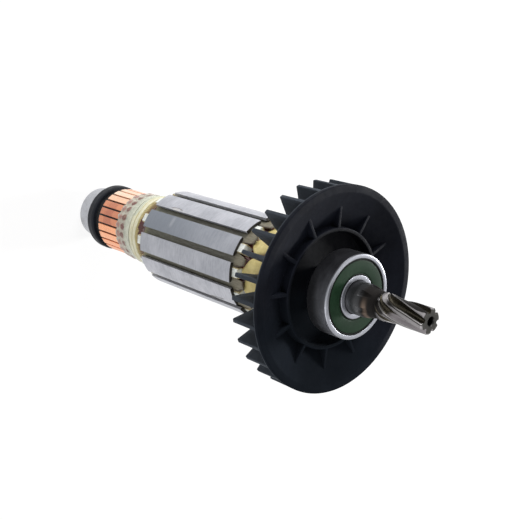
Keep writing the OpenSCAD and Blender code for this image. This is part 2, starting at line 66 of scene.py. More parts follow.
class Slot(enum.Enum):
    """Names of material slots of the record, one for each kind of new piece."""

    SHAFT_STEEL = "shaft_steel"
    WEDGE_OLIVE = "wedge_olive"
    COATED_WIRE = "coated_wire"
    COPPER = "copper"
    RESIN_GREY = "resin_grey"
    CORD_CREAM = "cord_cream"
    FAN_BLACK = "fan_black"
    BEARING_STEEL = "bearing_steel"
    SEAL_DARK = "seal_dark"
    SEAL_GREEN = "seal_green"


def polar(radius: np.ndarray, angle: np.ndarray, height: np.ndarray) -> np.ndarray:
    """Points at x = r cos a, y = r sin a, z = h, with the angle in degrees; the arrays broadcast.

    Args:
        radius: Distances from the axis.
        angle: Angles about +Z in degrees.
        height: Heights along the axis.

    Returns:
        An array with one more axis than the arguments, holding x, y and z.
    """
    turn = np.radians(angle)
    parts = np.broadcast_arrays(radius * np.cos(turn), radius * np.sin(turn), height)
    return np.stack(parts, axis=-1)


def circle(points: int) -> np.ndarray:
    """Angles in degrees of points spread evenly round the axis."""
    return np.arange(points) * FULL_TURN / points


def wrapped(angle: np.ndarray) -> np.ndarray:
    """Angles in degrees brought between -180 and 180."""
    return (angle + FULL_TURN / 2) % FULL_TURN - FULL_TURN / 2


def upright(angle: float) -> Matrix:
    """Matrix that stands a plate drawn in radius and height on edge at an angle round the axis."""
    stand = Matrix(((1, 0, 0), (0, 0, -1), (0, 1, 0))).to_4x4()
    return Matrix.Rotation(math.radians(angle), 4, "Z") @ stand


def read_off(value: np.ndarray, table: Sequence[Corner]) -> np.ndarray:
    """Second numbers of a table's pairs at values of the first, on straight lines between the pairs."""
    places, values = zip(*table)
    return np.interp(value, places, values)


def smooth_step(value: np.ndarray, low: float, high: float) -> np.ndarray:
    """Rise from 0 to 1 between two values as 3t^2 - 2t^3, with t the share of the way.

    Args:
        value: Values to map.
        low: Value at which the rise starts.
        high: Value at which it ends.

    Returns:
        The mapped values.
    """
    share = np.clip((value - low) / (high - low), 0.0, 1.0)
    return share * share * (3.0 - 2.0 * share)


def ripple(
    angle: np.ndarray, height: np.ndarray, seed: int, waves: Sequence[tuple[int, float]]
) -> np.ndarray:
    """Mean of sines sin(n a + k z + p) with random phases p, which close round the axis.

    Args:
        angle: Angles in degrees.
        height: Heights along the axis.
        seed: Seed of the phases.
        waves: Pairs of whole turns n and radians per millimetre k.

    Returns:
        Values between -1 and 1.
    """
    chance = np.random.default_rng(seed)
    phases = chance.uniform(0.0, 2.0 * np.pi, len(waves))
    turn = np.radians(angle)
    terms = [np.sin(n * turn + k * height + p) for (n, k), p in zip(waves, phases)]
    return np.mean(terms, axis=0)


def cord_wander(angle: np.ndarray) -> np.ndarray:
    """Shift along the axis of the binding cord and of the resin's end, a sum of slow sines of the angle."""
    return 0.42 * ripple(angle, 0 * angle, 52, [(2, 0), (3, 0), (5, 0)])


def rounded(outline: Sequence[Corner], radius: float, steps: int = 4) -> np.ndarray:
    """Closed outline with each corner cut back by the radius and rounded by a quadratic arc.

    Each arc runs p(t) = (1-t)^2 a + 2t(1-t) c + t^2 b between the points a and b on the corner's sides.

    Args:
        outline: Corners of a closed polygon.
        radius: Length cut from both sides of a corner, at most 45 percent of a side.
        steps: Pieces of each arc.

    Returns:
        The points of the rounded outline.
    """
    corner = np.asarray(outline, dtype=float)
    before = np.roll(corner, 1, axis=0) - corner
    after = np.roll(corner, -1, axis=0) - corner
    far_before = np.linalg.norm(before, axis=1, keepdims=True)
    far_after = np.linalg.norm(after, axis=1, keepdims=True)
    start = corner + before / far_before * np.minimum(radius, 0.45 * far_before)
    end = corner + after / far_after * np.minimum(radius, 0.45 * far_after)
    t = np.linspace(0.0, 1.0, steps + 1)[None, :, None]
    arcs = (1 - t) ** 2 * start[:, None] + 2 * t * (1 - t) * corner[:, None] + t**2 * end[:, None]
    return arcs.reshape(-1, 2)


def resampled(outline: np.ndarray, longest: float) -> np.ndarray:
    """Closed outline with its long sides cut into equal pieces no longer than a limit.

    Args:
        outline: Points of a closed outline.
        longest: Greatest length of a piece.

    Returns:
        The outline with the added points.
    """
    ahead = np.roll(outline, -1, axis=0)
    counts = np.maximum(1, np.ceil(np.linalg.norm(ahead - outline, axis=1) / longest).astype(int))
    owner = np.repeat(np.arange(len(outline)), counts)
    share = (np.arange(len(owner)) - np.repeat(np.cumsum(counts) - counts, counts)) / counts[owner]
    return outline[owner] + (ahead - outline)[owner] * share[:, None]


def inset(outline: np.ndarray, depth: float) -> np.ndarray:
    """Closed outline moved inwards along the mean of its sides' normals.

    Args:
        outline: Points of a closed outline.
        depth: Distance of the move.

    Returns:
        The moved points.
    """
    along = np.roll(outline, -1, axis=0) - np.roll(outline, 1, axis=0)
    normal = np.stack([along[:, 1], -along[:, 0]], axis=1)
    normal /= np.maximum(np.linalg.norm(normal, axis=1, keepdims=True), 1e-9)
    x, y = outline.T
    area = np.sum(x * np.roll(y, -1) - np.roll(x, -1) * y)
    return outline - np.sign(area) * depth * normal


@dataclass
class Skin:
    """Closed shells collected as arrays, with values on their points for the finishes."""

    points: list[np.ndarray] = field(default_factory=list)
    faces: list[np.ndarray] = field(default_factory=list)
    masks: dict[str, list[np.ndarray]] = field(default_factory=dict)
    count: int = 0

    def add(self, points: np.ndarray, faces: np.ndarray, masks: dict[str, np.ndarray]) -> None:
        """Take in one closed shell and turn its faces outwards by the sign of its volume.

        Args:
            points: Points of the shell.
            faces: Rows of four point numbers; a triangle repeats its last number.
            masks: Values between 0 and 1 on the points, by name.
        """
        a, b, c, d = (points[faces[:, i]] for i in range(4))
        volume = np.einsum("ij,ij->", a, np.cross(b, c)) + np.einsum("ij,ij->", a, np.cross(c, d))
        if volume < 0:
            faces = faces[:, ::-1]
        for name in set(self.masks) | set(masks):
            past = self.masks.setdefault(name, [np.zeros(self.count)] if self.count else [])
            past.append(masks.get(name, np.zeros(len(points))))
        self.points.append(points)
        self.faces.append(faces + self.count)
        self.count += len(points)

    def loft(self, rings: np.ndarray, wrap: bool = False, masks: dict[str, np.ndarray] | None = None) -> None:
        """Join rings of points into a closed shell, with a pole at each end or the last joined to the first.

        Args:
            rings: Array of rings, points in a ring, and x, y, z.
            wrap: Whether the last ring joins the first.
            masks: Arrays of rings and points in a ring, by name.
        """
        rows, cols, _ = rings.shape
        index = np.arange(rows * cols).reshape(rows, cols)
        low, high = (index, np.roll(index, -1, axis=0)) if wrap else (index[:-1], index[1:])
        sides = [low, np.roll(low, -1, axis=1), np.roll(high, -1, axis=1), high]
        faces = np.stack([side.ravel() for side in sides], axis=1)
        points = rings.reshape(-1, 3)
        values = {name: np.asarray(mask, dtype=float).reshape(-1) for name, mask in (masks or {}).items()}
        if not wrap:
            poles = rings[[0, -1]].mean(axis=1)
            base = rows * cols
            low_pole, high_pole = np.full(cols, base), np.full(cols, base + 1)
            first = np.stack([index[0], low_pole, low_pole, np.roll(index[0], -1)], axis=1)
            last = np.stack([np.roll(index[-1], -1), high_pole, high_pole, index[-1]], axis=1)
            faces = np.concatenate([faces, first, last])
            points = np.concatenate([points, poles])
            for name, mask in (masks or {}).items():
                ends = np.asarray(mask, dtype=float)[[0, -1]].mean(axis=1)
                values[name] = np.concatenate([values[name], ends])
        self.add(points, faces, values)

    def band(self, angle: np.ndarray, rings: np.ndarray, bore_r: float,
             masks: dict[str, tuple[np.ndarray, float, float]]) -> None:
        """Close a sleeve of rings with a straight bore, between its end rings drawn at the bore's radius.

        Args:
            angle: Angles of the points in a ring, as a row.
            rings: Array of rings, points in a ring, and x, y, z.
            bore_r: Radius of the bore.
            masks: Values on the rings and one value for each end of the bore, by name.
        """
        ends = polar(np.full((2, 1), bore_r), angle, rings[[0, -1], :, 2])
        values = {}
        for name, (mask, first, last) in masks.items():
            mask = np.broadcast_to(mask, rings.shape[:2])
            values[name] = np.concatenate([mask[:1] * 0 + first, mask, mask[-1:] * 0 + last])
        self.loft(np.concatenate([ends[:1], rings, ends[1:]]), wrap=True, masks=values)

    def turned(self, outline: np.ndarray, segments: int) -> None:
        """Turn a closed outline of radius and height round the axis: the point (r, z) sweeps the circle r.

        Args:
            outline: Points of the closed outline, all off the axis.
            segments: Points round the axis.
        """
        self.loft(polar(outline[:, 0, None], circle(segments)[None], outline[:, 1, None]), wrap=True)

    def slab(self, outline: np.ndarray, thickness: float, edge: float, place: Matrix) -> None:
        """Plate of an outline with rounded edges, made of rings inset by e(1 - sin t) at depth e(1 - cos t).

        Args:
            outline: Points of the closed outline in the plate's plane.
            thickness: Thickness of the plate, half on each side of its plane.
            edge: Radius of the rounded edges.
            place: Matrix that takes the plate from its own plane to its place.
        """
        t = np.linspace(0.0, np.pi / 2, 4)
        insets = np.concatenate([edge * (1 - np.sin(t)), edge * (1 - np.sin(t[::-1]))])
        depths = np.concatenate([edge * (1 - np.cos(t)), thickness - edge * (1 - np.cos(t[::-1]))])
        flat = np.stack([inset(outline, value) for value in insets])
        height = np.broadcast_to((depths - thickness / 2)[:, None, None], flat.shape[:2] + (1,))
        rings = np.concatenate([flat, height], axis=2)
        turn = np.array(place.to_3x3())
        self.loft(rings @ turn.T + np.array(place.translation))

    def tube(self, path: np.ndarray, radius: float, sides: int) -> None:
        """Tube of circles round a path, each across the path and levelled by the axis of the part.

        Args:
            path: Points of the path.
            radius: Radius of the tube.
            sides: Points of a circle.
        """
        along = np.gradient(path, axis=0)
        along /= np.linalg.norm(along, axis=1, keepdims=True)
        outward = path * [1.0, 1.0, 0.0]
        outward -= np.einsum("ij,ij->i", outward, along)[:, None] * along
        outward /= np.linalg.norm(outward, axis=1, keepdims=True)
        side = np.cross(along, outward)
        t = np.arange(sides) * 2 * np.pi / sides
        ring = np.cos(t)[None, :, None] * outward[:, None] + np.sin(t)[None, :, None] * side[:, None]
        self.loft(path[:, None] + radius * ring)

    def object(self, name: str, crease: float = 35.0) -> bpy.types.Object:
        """Make the collected shells into one mesh object at the origin.

        Args:
            name: Name of the object.
            crease: Angle in degrees from which an edge stays sharp.

        Returns:
            The object, linked to the scene.
        """
        points = np.concatenate(self.points) * MM
        quads = np.concatenate(self.faces)
        keep = quads != np.roll(quads, -1, axis=1)
        sizes = keep.sum(axis=1)
        mesh = bpy.data.meshes.new(name)
        mesh.vertices.add(len(points))
        mesh.vertices.foreach_set("co", points.astype(np.float32).ravel())
        mesh.loops.add(int(sizes.sum()))
        mesh.loops.foreach_set("vertex_index", quads[keep].astype(np.int32))
        mesh.polygons.add(len(sizes))
        mesh.polygons.foreach_set("loop_start", (np.cumsum(sizes) - sizes).astype(np.int32))
        for key, parts in self.masks.items():
            layer = mesh.attributes.new(key, "FLOAT", "POINT")
            layer.data.foreach_set("value", np.concatenate(parts).astype(np.float32))
        mesh.update(calc_edges=True)
        mesh.validate()
        mesh.shade_smooth()
        mesh.set_sharp_from_angle(angle=math.radians(crease))
        thing = bpy.data.objects.new(name, mesh)
        bpy.context.scene.collection.objects.link(thing)
        return thing


def linear(red: float, green: float, blue: float) -> tuple[float, float, float, float]:
    """Linear colour of an sRGB colour given from 0 to 255.

    Args:
        red: Red part.
        green: Green part.
        blue: Blue part.

    Returns:
        Linear red, green, blue and an alpha of 1.
    """
    share = [value / 255.0 for value in (red, green, blue)]
    parts = [s / 12.92 if s <= 0.04045 else ((s + 0.055) / 1.055) ** 2.4 for s in share]
    return parts[0], parts[1], parts[2], 1.0


class Graph:
    """Builder for the nodes of one material."""

    def __init__(self, name: str) -> None:
        """Start a material with an output and a principled shader.

        Args:
            name: Name of the material.
        """
        self.material = bpy.data.materials.new(name)
        self.material.use_nodes = True
        self.tree = self.material.node_tree
        self.tree.nodes.clear()
        self.shader = self.tree.nodes.new("ShaderNodeBsdfPrincipled")
        output = self.tree.nodes.new("ShaderNodeOutputMaterial")
        self.tree.links.new(self.shader.outputs["BSDF"], output.inputs["Surface"])

    def plug(self, socket: bpy.types.NodeSocket, value: Any) -> None:
        """Link a socket to another's output, or set its value.

        Args:
            socket: Socket of a node.
            value: Output to link, or value to set.
        """
        if isinstance(value, bpy.types.NodeSocket):
            self.tree.links.new(value, socket)
        else:
            socket.default_value = value

    def node(self, kind: str, inputs: dict[str | int, Any], output: str | int = 0, **settings: Any) -> Any:
        """Add a node and give one of its outputs.

        Args:
            kind: Type name of the node without the prefix.
            inputs: Values or outputs for its sockets, by name or number.
            output: Output to return.
            settings: Properties of the node.

        Returns:
            The output socket.
        """
        node = self.tree.nodes.new("ShaderNode" + kind)
        for key, value in settings.items():
            setattr(node, key, value)
        for key, value in inputs.items():
            self.plug(node.inputs[key], value)
        return node.outputs[output]

    def math(self, operation: str, *values: Any, clamp: bool = False) -> Any:
        """Output of a math node on one to three values."""
        return self.node("Math", dict(enumerate(values)), operation=operation, use_clamp=clamp)

    def times(self, first: Any, second: Any, clamp: bool = False) -> Any:
        """Product of two values."""
        return self.math("MULTIPLY", first, second, clamp=clamp)

    def plus(self, first: Any, second: Any, clamp: bool = False) -> Any:
        """Sum of two values."""
        return self.math("ADD", first, second, clamp=clamp)

    def minus(self, first: Any, second: Any) -> Any:
        """Difference of two values."""
        return self.math("SUBTRACT", first, second)

    def over(self, first: Any, second: Any) -> Any:
        """First value divided by the second."""
        return self.math("DIVIDE", first, second)

    def most(self, first: Any, second: Any) -> Any:
        """Greater of two values."""
        return self.math("MAXIMUM", first, second)

    def size(self, value: Any) -> Any:
        """Value without its sign."""
        return self.math("ABSOLUTE", value)

    def swing(self, noise: Any, amount: float) -> Any:
        """Noise taken about zero and scaled, (n - 0.5) a."""
        return self.times(self.minus(noise, 0.5), amount)

    def tinted(self, colour: Any) -> Any:
        """Linear colour of three sRGB parts; an output passes as it is."""
        return linear(*colour) if isinstance(colour, tuple) else colour

    def mix(self, share: Any, first: Any, second: Any) -> Any:
        """Colour between two colours at a share.

        Args:
            share: Share of the second colour.
            first: Output, or sRGB parts from 0 to 255.
            second: Output, or sRGB parts from 0 to 255.

        Returns:
            The output socket.
        """
        inputs = {"Factor": share, "A": self.tinted(first), "B": self.tinted(second)}
        node = self.tree.nodes.new("ShaderNodeMix")
        node.data_type = "RGBA"
        for socket in node.inputs:
            if socket.name == "Factor" and socket.type == "VALUE" or socket.type == "RGBA":
                self.plug(socket, inputs[socket.name])
        return next(out for out in node.outputs if out.type == "RGBA")

    def span(self, value: Any, low: float, high: float, to_low: float = 0.0, to_high: float = 1.0) -> Any:
        """Map a value smoothly and clamped from one span to another."""
        inputs = {0: value, 1: low, 2: high, 3: to_low, 4: to_high}
        return self.node("MapRange", inputs, interpolation_type="SMOOTHSTEP")

    def place(self) -> Any:
        """Object coordinates in millimetres."""
        there = self.node("TexCoord", {}, output="Object")
        return self.node("VectorMath", {0: there, "Scale": 1 / MM}, operation="SCALE")

    def split(self, vector: Any) -> tuple[Any, Any, Any]:
        """The x, y and z of a vector.

        Args:
            vector: Output that holds a vector.

        Returns:
            The three outputs.
        """
        node = self.tree.nodes.new("ShaderNodeSeparateXYZ")
        self.plug(node.inputs[0], vector)
        return node.outputs[0], node.outputs[1], node.outputs[2]

    def noise(self, vector: Any, scale: float, detail: float, rough: float) -> Any:
        """Value of a noise, about 0.5 on average."""
        return self.node("TexNoise", {"Vector": vector, "Scale": scale, "Detail": detail, "Roughness": rough})

    def radius(self, vector: Any) -> Any:
        """Distance of a point from the axis."""
        x, y, _ = self.split(vector)
        return self.math("SQRT", self.plus(self.times(x, x), self.times(y, y)))

    def turned_by(self, vector: Any, middle: float) -> Any:
        """Angle in degrees between a point's direction from the axis and a middle angle, without a sign.

        Args:
            vector: Point to look at.
            middle: Middle angle in degrees.

        Returns:
            The output socket.
        """
        x, y, _ = self.split(vector)
        turn = math.radians(middle)
        along = self.plus(self.times(x, math.cos(turn)), self.times(y, math.sin(turn)))
        across = self.minus(self.times(y, math.cos(turn)), self.times(x, math.sin(turn)))
        return self.times(self.size(self.math("ARCTAN2", across, along)), 180 / math.pi)

    def round_axis(self, vector: Any, lines: float, streak: float) -> Any:
        """Coordinates for marks that run round the axis, on rims and on faces.

        Args:
            vector: Point in millimetres.
            lines: Scale across the marks, per millimetre.
            streak: Scale along them, on a circle of radius 1.

        Returns:
            Vector of (height + radius) times lines, and of the direction from the axis times streak.
        """
        x, y, z = self.split(vector)
        far = self.most(self.radius(vector), 0.05)
        across = self.times(self.plus(z, self.times(far, 1.03)), lines)
        turn_x = self.times(self.over(x, far), streak)
        turn_y = self.times(self.over(y, far), streak)
        return self.node("CombineXYZ", {0: across, 1: turn_x, 2: turn_y})

    def bump(self, height: Any, distance: float) -> Any:
        """Normal bent by a height, with the distance in millimetres."""
        return self.node("Bump", {"Height": height, "Distance": distance * MM, "Strength": 1.0})

    def mask(self, name: str) -> Any:
        """Value that the mesh carries on its points."""
        return self.node("Attribute", {}, output="Fac", attribute_type="GEOMETRY", attribute_name=name)

    def finish(self, **inputs: Any) -> bpy.types.Material:
        """Set the shader's sockets, with spaces written as underscores, and give the material.

        Args:
            inputs: Values or outputs by socket.

        Returns:
            The material.
        """
        for key, value in inputs.items():
            self.plug(self.shader.inputs[key.replace("_", " ")], value)
        return self.material


@dataclass(frozen=True)
class Moulded:
    """Moulded plastic, rubber or resin with a fine skin, soft mottling and a satin sheen."""

    name: str
    colour: Colour
    dust: Colour
    roughness: float = 0.45
    dust_share: float = 0.25
    grain: float = 3.0
    grain_depth: float = 0.012
    gloss: float = 0.5

    def build(self) -> bpy.types.Material:
        """Material whose tone drifts between the colour and the dust colour, with a grained surface.

        Returns:
            The material.
        """
        g = Graph(self.name)
        at = g.place()
        cloud = g.span(g.noise(at, 0.12, 4.0, 0.6), 0.35, 0.75)
        speck = g.span(g.noise(at, 1.7, 3.0, 0.7), 0.45, 0.8)
        share = g.times(g.plus(cloud, g.times(speck, 0.6)), self.dust_share)
        colour = g.mix(share, self.colour, self.dust)
        wear = g.noise(at, 0.5, 4.0, 0.65)
        rough = g.span(wear, 0.3, 0.7, self.roughness - 0.07, self.roughness + 0.09)
        skin = g.bump(g.noise(at, self.grain, 3.0, 0.6), self.grain_depth)
        return g.finish(Base_Color=colour, Roughness=rough, Specular_IOR_Level=self.gloss, Normal=skin)


@dataclass(frozen=True)
class FanPlastic:
    """Black fan plastic: painted sheen greys the blades, painted shade blackens the recess, dish dull to -X.
    """

    name: str
    colour: Colour = (13, 15, 22)
    dust: Colour = (28, 31, 40)
    # blade: painted sheen, a lighter grey for the blades
    blade: Colour = (60, 65, 72)
    rim_z: float = 130.9
    rim_r: float = 29.7
    slope: float = 0.477
    hub_r: float = 18.6
    # recess: painted shade, nearly black, inside the ring
    recess: Colour = (6, 7, 10)
    painted_matte_tone: Colour = (31, 36, 41)
    painted_matte_turn: float = 168.0

    def build(self) -> bpy.types.Material:
        """Satin plastic with clouds of dust; the blades are what lies behind the dish's cone.

        Returns:
            The material.
        """
        g = Graph(self.name)
        at = g.place()
        _, _, z = g.split(at)
        far = g.radius(at)
        cloud = g.span(g.noise(at, 0.12, 4.0, 0.6), 0.35, 0.75)
        speck = g.span(g.noise(at, 1.7, 3.0, 0.7), 0.45, 0.8)
        share = g.plus(g.times(cloud, 0.45), g.times(speck, 0.2))
        colour = g.mix(share, self.colour, self.dust)
        dish = g.times(g.most(g.minus(self.rim_r, far), 0.0), self.slope)
        below = g.minus(g.minus(self.rim_z, dish), z)
        behind = g.times(g.span(below, 1.0, 1.4), g.span(far, self.hub_r, self.hub_r + 0.4))
        # Painted sheen: the blades behind the dish's cone are drawn lighter grey.
        colour = g.mix(g.times(behind, g.span(cloud, 0.0, 1.0, 0.75, 1.0)), colour, self.blade)
        # Painted shade: inside the ring the recess is drawn nearly black.
        inside = g.span(far, self.hub_r - 0.6, self.hub_r, 0.75, 0.0)
        colour = g.mix(inside, colour, self.recess)
        # Painted light: towards -X the sheen is cut and the colour drawn halfway to a flat painted tone.
        towards = g.span(g.turned_by(at, self.painted_matte_turn), 45.0, 80.0, 1.0, 0.0)
        dull = g.times(towards, g.span(behind, 0.0, 1.0, 1.0, 0.0))
        colour = g.mix(g.times(dull, 0.5), colour, self.painted_matte_tone)
        gloss = g.span(dull, 0.0, 1.0, 0.06, 0.012)
        rough = g.plus(g.span(g.noise(at, 0.5, 4.0, 0.65), 0.3, 0.7, 0.54, 0.7), g.times(dull, 0.3))
        skin = g.bump(g.noise(at, 2.4, 3.0, 0.6), 0.01)
        return g.finish(Base_Color=colour, Roughness=rough, Specular_IOR_Level=gloss, Normal=skin)


@dataclass(frozen=True)
class Turned:
    """Turned or ground metal with marks round the axis, a drifting tone and small stains."""

    name: str
    colour: Colour
    stain: Colour
    roughness: float = 0.3
    stain_share: float = 0.3
    metallic: float = 1.0
    mark_depth: float = 0.0012
    lines: float = 5.0
    painted_dark: float = 0.0
    painted_dark_from: float = 12.9
    painted_dark_colour: Colour = (30, 30, 33)

    def build(self) -> bpy.types.Material:
        """Metal whose marks and clouds set roughness and tone; painted shade darkens its rim to +X and near
        the fan.

        Returns:
            The material.
        """
        g = Graph(self.name)
        at = g.place()
        marks = g.noise(g.round_axis(at, self.lines, 0.9), 1.0, 3.0, 0.6)
        broad = g.noise(g.round_axis(at, 0.8, 2.0), 1.0, 3.0, 0.5)
        cloud = g.span(g.noise(at, 0.3, 5.0, 0.62), 0.42, 0.72)
        share = g.plus(g.plus(cloud, g.times(broad, 0.5)), g.span(marks, 0.4, 0.7, 0.0, 0.5))
        colour = g.mix(g.times(share, self.stain_share, clamp=True), self.colour, self.stain)
        if self.painted_dark:
            # Painted shade: the outer rim darkens towards +X and next to the fan, a painted reflection of the
            # dark fan.
            away = g.plus(g.turned_by(at, 0.0), g.swing(broad, 30.0))
            _, _, z = g.split(at)
            painted_shade = g.most(g.span(away, 40.0, 125.0, self.painted_dark, 0.0), g.span(z, 132.5, 137.2, 0.8, 0.0))
            painted_shade = g.times(painted_shade, g.span(g.radius(at), self.painted_dark_from - 0.1, self.painted_dark_from))
            colour = g.mix(painted_shade, colour, self.painted_dark_colour)
        rough = g.span(g.plus(marks, g.times(cloud, 0.25)), 0.3, 0.85,
                       self.roughness - 0.06, self.roughness + 0.12)
        normal = g.bump(marks, self.mark_depth)
        return g.finish(Base_Color=colour, Metallic=self.metallic, Roughness=rough, Normal=normal)


@dataclass(frozen=True)
class Seal:
    """Rubber-coated seal: a flat colour that drifts a little, with painted shade as a dark line at both
    borders.
    """

    name: str
    colour: Colour
    light: Colour
    inner: float
    outer: float
    line: float = 0.34
    rim_line: float = 0.34
    painted_gap_shade: Colour = (10, 16, 12)

    def build(self) -> bpy.types.Material:
        """Matte skin whose lines of painted shade lie within a width of the two radii.

        Returns:
            The material.
        """
        g = Graph(self.name)
        at = g.place()
        far = g.radius(at)
        cloud = g.noise(at, 0.35, 4.0, 0.6)
        fine = g.noise(at, 4.0, 4.0, 0.7)
        share = g.plus(g.span(cloud, 0.3, 0.7, 0.0, 0.7), g.span(fine, 0.4, 0.75, 0.0, 0.3))
        colour = g.mix(share, self.colour, self.light)
        # Painted shade: dark lines near both radii, where the seal meets the rings.
        rim = g.span(far, self.outer - self.rim_line - 0.06, self.outer - self.rim_line + 0.06)
        lip = g.span(far, self.inner + self.line - 0.06, self.inner + self.line + 0.06, 1.0, 0.0)
        colour = g.mix(g.most(rim, lip), colour, self.painted_gap_shade)
        rough = g.span(fine, 0.3, 0.7, 0.5, 0.66)
        skin = g.bump(fine, 0.012)
        return g.finish(Base_Color=colour, Roughness=rough, Specular_IOR_Level=0.1, Normal=skin)


@dataclass(frozen=True)
class Pinion:
    """Shaft steel: ground where plain, browned by heat at the taper, polished on the lands of the teeth."""

    name: str
    ground: Colour = (105, 106, 108)
    painted_shade: Colour = (46, 46, 48)
    burnt: Colour = (34, 32, 31)
    tint: Colour = (118, 103, 92)
    groove: Colour = (72, 68, 58)
    land: Colour = (150, 147, 148)
    face: Colour = (55, 54, 51)
    tint_at: float = 145.4
    painted_dark_at: float = 5.0
    worn: Colour = (94, 94, 96)
    grime: Colour = (38, 35, 30)
    land_worn: Colour = (124, 119, 118)
    groove_lit: Colour = (146, 141, 144)
    shadow: Colour = (22, 20, 18)
    # edge: painted highlight along the lands' lower edges
    edge: Colour = (172, 170, 165)
    # hole: painted shade, near black, in the centre hole
    hole: Colour = (8, 8, 8)

    def build(self) -> bpy.types.Material:
        """Metal whose parts come from the mesh's values, with marks round the axis and painted shade towards
        +X.

        Returns:
            The material.
        """
        g = Graph(self.name)
        at = g.place()
        _, _, z = g.split(at)
        marks = g.noise(g.round_axis(at, 3.0, 1.2), 1.0, 3.0, 0.6)
        cloud = g.noise(at, 0.5, 4.0, 0.6)
        fine = g.noise(at, 2.6, 4.0, 0.7)
        away = g.turned_by(at, self.painted_dark_at)
        # Painted shade: in front of the bearing the side towards +X darkens, a painted reflection of the dark
        # fan.
        painted_dark = g.times(g.span(away, 30.0, 120.0, 0.9, 0.0), g.span(z, 138.0, 138.6))
        colour = g.mix(g.span(marks, 0.35, 0.7, 0.0, 0.5), self.ground, self.worn)
        colour = g.mix(painted_dark, colour, self.painted_shade)
        near = g.minus(g.plus(z, g.times(cloud, 0.8)), self.tint_at + 0.4)
        # The brown heat tint shows only on the side away from +X, as painted light; towards +X the taper
        # keeps the dark burnt colour.
        warm = g.times(g.span(g.size(near), 0.1, 1.4, 0.85, 0.0), g.span(away, 55.0, 105.0))
        brown = g.mix(warm, self.burnt, self.tint)
        colour = g.mix(g.times(g.mask("burnt"), 0.96), colour, brown)
        oily = g.mix(g.span(fine, 0.35, 0.7), self.groove, self.grime)
        bright = g.mix(g.span(fine, 0.5, 0.8, 0.0, 0.4), self.land, self.land_worn)
        lit = g.times(g.span(away, 91.0, 105.0, 0.0, 0.9), g.span(away, 150.0, 170.0, 1.0, 0.0))
        lit = g.times(lit, g.span(z, 152.8, 155.2))
        colour = g.mix(g.mask("groove"), colour, g.mix(lit, oily, self.groove_lit))
        dim = g.times(g.span(away, 60.0, 70.0, 0.95, 0.0), g.span(z, 151.6, 153.4))
        dim = g.times(dim, g.minus(1.0, g.mask("sliver")))
        dim = g.most(dim, g.times(g.mask("strip"), 0.92))
        late = g.times(g.span(away, 52.0, 60.0, 0.0, 0.94), g.span(away, 104.0, 116.0, 1.0, 0.4))
        dim = g.most(dim, g.times(late, g.span(z, 151.8, 153.2, 1.0, 0.0)))
        colour = g.mix(g.mask("land"), colour, g.mix(dim, bright, self.shadow))
        # Painted highlight: a thin bright line along each land's lower edge.
        colour = g.mix(g.times(g.mask("edge"), g.span(away, 54.0, 66.0)), colour, self.edge)
        colour = g.mix(g.mask("face"), colour, self.face)
        # Painted shade: the centre hole is drawn near black.
        colour = g.mix(g.mask("hole"), colour, self.hole)
        rough = g.plus(g.span(marks, 0.3, 0.7, 0.38, 0.48), g.times(g.mask("land"), -0.06))
        rough = g.plus(rough, g.span(g.size(g.minus(z, 145.5)), 3.0, 4.5, 0.22, 0.0))
        return g.finish(Base_Color=colour, Metallic=1.0, Roughness=rough, Normal=g.bump(marks, 0.003))


